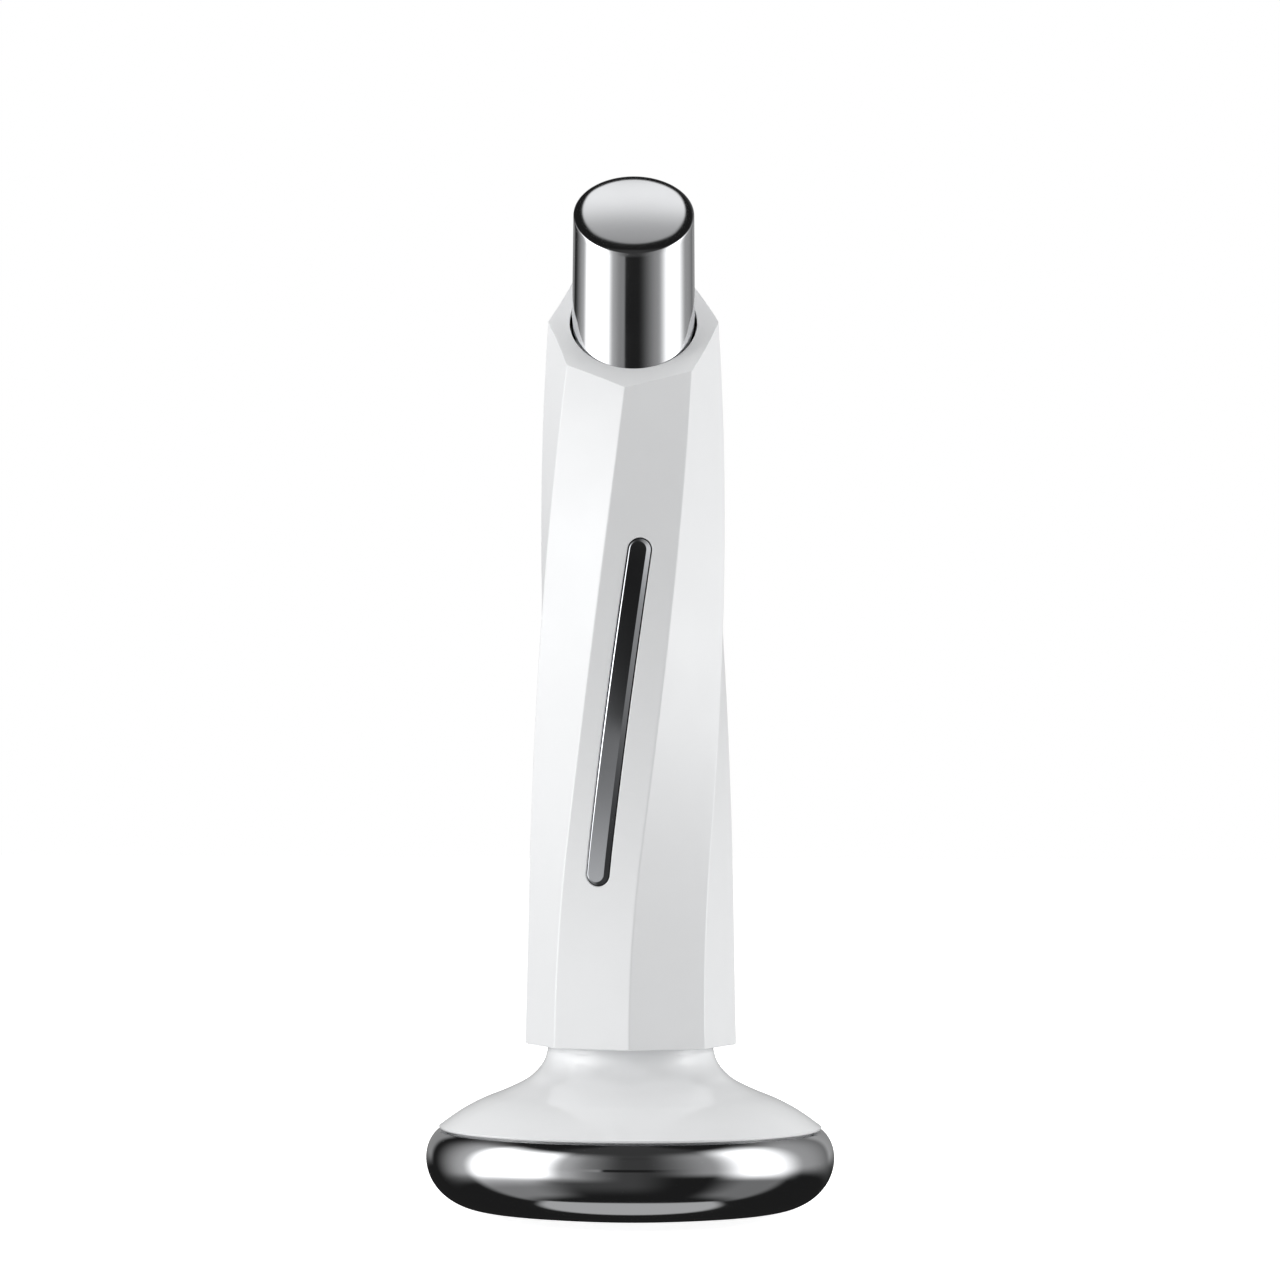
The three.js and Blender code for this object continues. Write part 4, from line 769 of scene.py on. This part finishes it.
# Each ring of the dish has its width and its share of the depth.
dish_rings = [(0.7 * mm, 0), (0.6 * mm, 0.55), (0.7 * mm, 0.45)]
key = bar(button_width, button_length, flange_high - key_overlap, button_proud, key_steps)
for ring_width, depth_share in dish_rings:
    bpy.ops.mesh.inset(thickness=ring_width, depth=-dish_depth * depth_share)
close_bar(key)
cut(key, close_bar(bar(flange_width, flange_length, flange_low, flange_high, key_steps)), "UNION")
soften(key, key_edge, steps=3, least_angle=50)
lay_on_facet(key, back_facet, button_height, rigid=True)
finish_piece(key, "power_button_key", "power_button", satin_white)
even_out(key)


# Light windows: three small milky acrylic pins over the battery lights. Each fills its hole in the back facet
# and ends in a low dome.
cloud_mm = 0.6
window_gloss_mm = 1


def milky_moulded_acrylic():
    """Milky moulded acrylic: pale, glossy and a little see-through, with soft clouds in it."""
    material, tree, place = new_material("milky_moulded_acrylic")
    clouds = add_node(tree, "ShaderNodeMix", {"data_type": "RGBA"}, {
        0: uneven(tree, place, cloud_mm, 0, 1), 6: linear("E9EEF2"), 7: linear("DDE4EA")})
    surface = add_node(tree, "ShaderNodeBsdfPrincipled", sockets={
        "Base Color": clouds.outputs[2], "IOR": 1.49, "Transmission Weight": 0.35,
        "Roughness": uneven(tree, place, window_gloss_mm, low=0.12, high=0.2)})
    add_node(tree, "ShaderNodeOutputMaterial", sockets={"Surface": surface.outputs[0]})
    return material


milky_acrylic = milky_moulded_acrylic()
lens_dome = 0.15 * mm
lens_foot_radius = 1.5 * mm
lens_foot = 0.8 * mm
lens_dome_end = 72
lens_dome_steps = 4
lens_steps = 48
for name in lens_names:
    low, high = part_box(name)
    reach = high.y - low.y
    pin = turned(
        [(0, 0), (lens_foot_radius, 0), (lens_foot_radius, lens_foot), (lens_radius, lens_foot)]
        + arc(0, reach - lens_dome, lens_radius, lens_dome, 0, lens_dome_end, lens_dome_steps)
        + [(0, reach)], lens_steps)
    pin.rotation_euler = (-math.pi / 2, 0, 0)
    pin.location = ((low.x + high.x) / 2, low.y, (low.z + high.z) / 2)
    finish_piece(pin, name + "_pin", name, milky_acrylic)


# Charging socket: a folded shell of plated steel with a black tongue in it, upright in its bay low on the
# back. The same plated steel makes the motor can, its shaft, the coil and all screws.
plated_steel = metal("bright_plated_steel", "BFC2C6", roughness=0.22, hairline_mm=0.2,
                     stretch=(1, 1, 0.2), hairline_depth=0.1)
dress(["charging_socket", "motor_can", "rotor_shaft", "coil_inductor", "clamp_screw_1", "clamp_screw_2",
       "clamp_screw_3", "base_screw_left", "base_screw_right", "carrier_screw_left", "carrier_screw_right",
       "board_screw_lower", "board_screw_upper"], plated_steel)
# Moulded black polymer and epoxy: matt black with a fine skin.
black_plastic = moulded("moulded_black_polymer", "1B1B1D", roughness=0.5, index=1.55,
                        spot_mm=2, grain_mm=0.1, grain_depth=0.1)
dress(["socket_tongue", "tact_switch", "control_chip", "thermistor_bead"], black_plastic)


# Warm side of the disc: a sintered ceramic heater on a cast grey silicone pad, held down by a stamped
# aluminium clamp with three screws. The lights on the board have ceramic bodies too.
heater_ceramic = moulded("sintered_white_ceramic", "DAD6CB", roughness=0.45, index=1.6,
                         spot_mm=3, grain_mm=0.1, grain_depth=0.15)
dress(["heater_plate", "level_led_1", "level_led_2", "level_led_3"], heater_ceramic)
heat_pad = moulded("cast_grey_silicone", "A3A7AE", roughness=0.7, index=1.41,
                   spot_mm=2, grain_mm=0.2, grain_depth=0.3)
dress(["thermal_pad"], heat_pad)
sheet_aluminium = metal("rolled_aluminium_sheet", "C6C7C9", roughness=0.33, hairline_mm=0.15,
                        stretch=(0.1, 1, 1), hairline_depth=0.15)
dress(["heater_clamp", "buffer_capacitor"], sheet_aluminium)


# Inner frame, tip carrier and switch plunger: mouldings of grey nylon filled with glass fibre, with a dull,
# grainy skin. The frame holds the cell and the board. The lead connector is moulded in natural nylon.
grey_nylon = moulded("glass_filled_grey_nylon", "777B80", roughness=0.55, index=1.53,
                     spot_mm=2, grain_mm=0.12, grain_depth=0.35)
dress(["inner_frame", "tip_carrier", "switch_plunger"], grey_nylon)
natural_nylon = moulded("natural_white_nylon", "D9D4C6", roughness=0.5, index=1.53,
                        spot_mm=2, grain_mm=0.15, grain_depth=0.15)
dress(["lead_connector"], natural_nylon)


# Battery: a lithium cell in a steel can, 10 mm across and 44 mm long, under a smooth blue shrink wrap. Rolled
# nickel tabs are spot-welded to its two ends and go to the board.
shrink_wrap = moulded("blue_shrink_wrap", "1E4C99", roughness=0.31, index=1.5,
                      spot_mm=5, grain_mm=0.4, grain_depth=0.1)
dress(["battery_cell"], shrink_wrap)
nickel_tab = metal("rolled_nickel_strip", "C4C0B4", roughness=0.33, hairline_mm=0.1,
                   stretch=(0.1, 1, 1), hairline_depth=0.2)
dress(["cell_tab_top", "cell_tab_bottom"], nickel_tab)


# Main board: glass-fibre laminate under glossy green solder mask, held to the inner frame by two screws. The
# etched copper below the mask shows as paler, raised lines.
copper_height = 0.03 * mm


def green_masked_laminate(track_mm):
    """Green solder mask: glossy, with the raised pattern of the copper below it."""
    material, tree, place = new_material("green_masked_laminate")
    tracks = add_node(tree, "ShaderNodeTexBrick", {"offset": 0.35}, {
        "Vector": place, "Color1": linear("0F5A33"), "Color2": linear("11623A"), "Mortar": linear("2C8453"),
        "Scale": 1 / (track_mm * mm), "Mortar Size": 0.06})
    bump = add_node(tree, "ShaderNodeBump", sockets={
        "Strength": 0.3, "Distance": copper_height, "Height": tracks.outputs[1]})
    surface = add_node(tree, "ShaderNodeBsdfPrincipled", sockets={
        "Base Color": tracks.outputs[0], "Roughness": 0.3, "IOR": 1.5, "Normal": bump.outputs[0]})
    add_node(tree, "ShaderNodeOutputMaterial", sockets={"Surface": surface.outputs[0]})
    return material


dress(["main_board"], green_masked_laminate(track_mm=1.5))


# Drive weight, ring terminal and contact pin: brass, a warm yellow with fine marks of the tool. The weight is
# machined and pressed on the motor's shaft, the terminal is stamped, and the pin is turned.
turned_brass = metal("machined_brass", "C9A662", roughness=0.22, hairline_mm=0.15,
                     stretch=(1, 1, 0.2), hairline_depth=0.15)
dress(["eccentric_weight", "ring_terminal", "strip_contact_pin"], turned_brass)


# Leads: stranded copper in extruded silicone insulation, 1 mm thick, red, black and white. They run from the
# disc, the motor and the strip's pin to the board, and are soldered or plugged in there.
for colour_name, colour, leads in [
    ("red", "A3211C", ["heater_lead_red", "motor_lead_red"]),
    ("black", "19191A", ["heater_lead_black", "motor_lead_black", "thermistor_lead"]),
    ("white", "CFCFCF", ["disc_lead", "strip_lead"]),
]:
    insulation = moulded(colour_name + "_silicone_insulation", colour, roughness=0.5, index=1.41,
                         spot_mm=2, grain_mm=0.2, grain_depth=0.1)
    dress(leads, insulation)


# Floor: a plain pale sheet of paper under the massager. It lifts itself to white for the camera and keeps the
# soft shadow under the disc, and the polished metal shows the studio instead of it.
floor_side = 3
floor_lift = 0.85
fibre_spot_mm = 40
bpy.ops.object.select_all(action="DESELECT")
bpy.ops.mesh.primitive_plane_add(size=floor_side)
floor = bpy.context.object
floor.name = "studio_floor"
floor.visible_glossy = False
paper, paper_tree, paper_place = new_material("white_paper_floor")
fibres = uneven(paper_tree, paper_place, fibre_spot_mm, low=0.84, high=0.86)
sheet = add_node(paper_tree, "ShaderNodeBsdfDiffuse", sockets={"Color": fibres})
glow = add_node(paper_tree, "ShaderNodeEmission", sockets={"Strength": floor_lift})
lifted = add_node(paper_tree, "ShaderNodeAddShader", sockets={0: sheet.outputs[0], 1: glow.outputs[0]})
paths = add_node(paper_tree, "ShaderNodeLightPath")
shown = add_node(paper_tree, "ShaderNodeMixShader", sockets={
    0: paths.outputs["Is Camera Ray"], 1: sheet.outputs[0], 2: lifted.outputs[0]})
add_node(paper_tree, "ShaderNodeOutputMaterial", sockets={"Surface": shown.outputs[0]})
floor.data.materials.append(paper)


# Studio: white to the camera and through clear plastic, an even soft light for the plastics, and for polished
# metal what stands round such a product in a studio: two tall soft boxes, a lit ceiling, the edge of the
# table and dark cloth between.
ambient = 0.32
white = 1
dark_cloth = 0.014
# Each card has its bearings in degrees (0 to the front, 90 to the right), its lowest and highest rise, how
# far each of these four edges fades, and its strength.
cards = [
    # The two soft boxes, and their brighter cores.
    ((-100.5, -47), (-16, 46), (18, 18, 18, 22), 1.6),
    ((62, 100), (-15, 50), (30, 34, 18, 24), 1.6),
    ((-86, -62), (-10, 34), (14, 14, 10, 14), 1.4),
    ((74, 90), (-8, 36), (14, 14, 10, 14), 1.4),
    # The pale wall round the left box.
    ((-122, -16), (0.4, 7), (44, 4, 3.4, 3.4), 0.25),
    ((-122, -20), (7, 46), (44, 36, 3.4, 22), 0.25),
    ((-122, -20), (-22, 0.4), (44, 36, 16, 3.4), 0.25),
    ((-122, -34), (-16, 44), (44, 22, 10, 22), 0.25),
    # The pale wall round the right box.
    ((32, 145), (-10, 48), (48, 60, 14, 24), 0.35),
    # The table below the boxes, left and right.
    ((-102, -52), (-58, -14), (12, 40, 14, 8), 0.22),
    ((-102, -54), (-30, -14), (12, 20, 16, 8), 0.2),
    ((60, 102), (-57, -12), (30, 12, 14, 8), 0.17),
    # The dark room in front: faint light below, ahead and overhead.
    ((-62, 14), (-46, 0.4), (30, 30, 30, 3.4), 0.045),
    ((-30, 30), (7, 42), (30, 30, 3.4, 20), 0.035),
    ((-60, 60), (42, 91), (30, 30, 12, 1), 0.03),
    # The wall behind, in two halves.
    ((150, 181), (-4, 34), (10, 1, 8, 20), 0.26),
    ((-181, -150), (-4, 34), (1, 10, 8, 20), 0.26),
]
# Ceiling: two steps of brightness (start, end, strength), its far end and its half width, as parts of the
# direction, and the rise from which it is seen. Table: its front edge and how that bows, the rise below which
# it is seen, and its strength. Both rises are in degrees, each with the width of its fade.
ceiling_low = (0.25, 0.3, 0.41)
ceiling_high = (0.325, 0.445, 0.64)
ceiling_end = (0.5, 0.56)
ceiling_half = (0.09, 0.135)
ceiling_rise = (30, 20)
table_edge = (-0.22, -0.16)
table_bow = -0.9
table_rise = (-62, -5)
table = 0.42

world = bpy.data.worlds.new("white_studio")
bpy.context.scene.world = world
world.use_nodes = True
world.cycles.sampling_method = "NONE"
sky = world.node_tree
sky.nodes.clear()
smooth = {"interpolation_type": "SMOOTHSTEP", "clamp": True}


def patch(strength, *borders):
    """Light of a patch of the studio: its strength, times a soft border for each direction, start and end."""
    light = strength
    for direction, start, end in borders:
        border = add_node(sky, "ShaderNodeMapRange", smooth, {0: direction, 1: start, 2: end})
        faded = add_node(sky, "ShaderNodeMath", {"operation": "MULTIPLY"}, {0: light, 1: border.outputs[0]})
        light = faded.outputs[0]
    return light


def around(place, fade):
    """Start and end in radians of a border round a place in degrees. A negative fade turns it round."""
    return math.radians(place - fade / 2), math.radians(place + fade / 2)


looking = add_node(sky, "ShaderNodeTexCoord").outputs["Generated"]
axes = add_node(sky, "ShaderNodeSeparateXYZ", sockets={0: looking})
across, back = axes.outputs["X"], axes.outputs["Y"]
front = add_node(sky, "ShaderNodeMath", {"operation": "MULTIPLY"}, {0: back, 1: -1}).outputs[0]
bearing = add_node(sky, "ShaderNodeMath", {"operation": "ARCTAN2"}, {0: across, 1: front}).outputs[0]
rise = add_node(sky, "ShaderNodeMath", {"operation": "ARCSINE"}, {0: axes.outputs["Z"]}).outputs[0]
lit = []
for (left, right), (low, high), (left_fade, right_fade, low_fade, high_fade), strength in cards:
    lit.append(patch(strength, (bearing, *around(left, left_fade)), (bearing, *around(right, -right_fade)),
                     (rise, *around(low, low_fade)), (rise, *around(high, -high_fade))))
# The ceiling behind the massager brightens backwards, in two steps, and is a narrow strip.
aside = add_node(sky, "ShaderNodeMath", {"operation": "ABSOLUTE"}, {0: across}).outputs[0]
for step_start, step_end, strength in (ceiling_low, ceiling_high):
    lit.append(patch(strength, (back, step_start, step_end), (back, *ceiling_end[::-1]),
                     (aside, *ceiling_half[::-1]), (rise, *around(*ceiling_rise))))
# The table shows in the disc's underside, up to its front edge, which looks bowed there.
squared = add_node(sky, "ShaderNodeMath", {"operation": "MULTIPLY"}, {0: across, 1: across}).outputs[0]
bowed = add_node(sky, "ShaderNodeMath", {"operation": "MULTIPLY_ADD"}, {0: squared, 1: table_bow, 2: back})
lit.append(patch(table, (bowed.outputs[0], *table_edge), (rise, *around(*table_rise))))
mirrored = dark_cloth
for light in lit:
    mirrored = add_node(sky, "ShaderNodeMath", {"operation": "ADD"}, {0: mirrored, 1: light}).outputs[0]
rays = add_node(sky, "ShaderNodeLightPath")
lighting = add_node(sky, "ShaderNodeMix", {"data_type": "FLOAT"}, {
    0: rays.outputs["Is Glossy Ray"], 2: ambient, 3: mirrored})
seen = add_node(sky, "ShaderNodeMath", {"operation": "MAXIMUM"}, {
    0: rays.outputs["Is Camera Ray"], 1: rays.outputs["Is Transmission Ray"]})
studio = add_node(sky, "ShaderNodeMix", {"data_type": "FLOAT"}, {
    0: seen.outputs[0], 2: lighting.outputs[0], 3: white})
backdrop = add_node(sky, "ShaderNodeBackground", sockets={
    "Color": linear("FFFFFF"), "Strength": studio.outputs[0]})
add_node(sky, "ShaderNodeOutputWorld", sockets={"Surface": backdrop.outputs[0]})

# Lamps behind the two soft boxes and above: bearing and rise in degrees, side in metres, power in watts.
lamp_distance = 0.7
lamp_target = Vector((0, 0, 75 * mm))
lamps = [
    ("left_soft_box", -72, 12, 0.34, 2.75),
    ("right_soft_box", 86, 12, 0.34, 2.4),
    ("top_soft_box", 180, 78, 0.5, 2.55),
]
for name, lamp_bearing, lamp_rise, side, power in lamps:
    turn, lift = math.radians(lamp_bearing), math.radians(lamp_rise)
    toward = Vector((math.sin(turn) * math.cos(lift), -math.cos(turn) * math.cos(lift), math.sin(lift)))
    lamp_data = bpy.data.lights.new(name, "AREA")
    lamp_data.shape = "SQUARE"
    lamp_data.size = side
    lamp_data.energy = power
    lamp = bpy.data.objects.new(name, lamp_data)
    bpy.context.scene.collection.objects.link(lamp)
    lamp.location = lamp_target + toward * lamp_distance
    lamp.rotation_euler = (-toward).to_track_quat("-Z", "Y").to_euler()
    lamp.visible_glossy = False


# Camera: level, in front of the massager and 85 mm above the floor, as in the photograph. It leans a fifth of
# a degree, because the massager stands that much out of upright there.
picture_side = 1280
focal_pixels = 6200
sensor = 36
camera_place = Vector((1.15, -914.5, 85.1)) * mm
camera_lean = math.radians(-0.22)
camera_data = bpy.data.cameras.new("photo_camera")
camera_data.sensor_width = sensor
camera_data.lens = sensor * focal_pixels / picture_side
camera_data.clip_end = 20
camera = bpy.data.objects.new("photo_camera", camera_data)
bpy.context.scene.collection.objects.link(camera)
camera.location = camera_place
camera.rotation_euler = (math.pi / 2, camera_lean, 0)
bpy.context.scene.camera = camera
bpy.context.scene.view_settings.view_transform = "Standard"
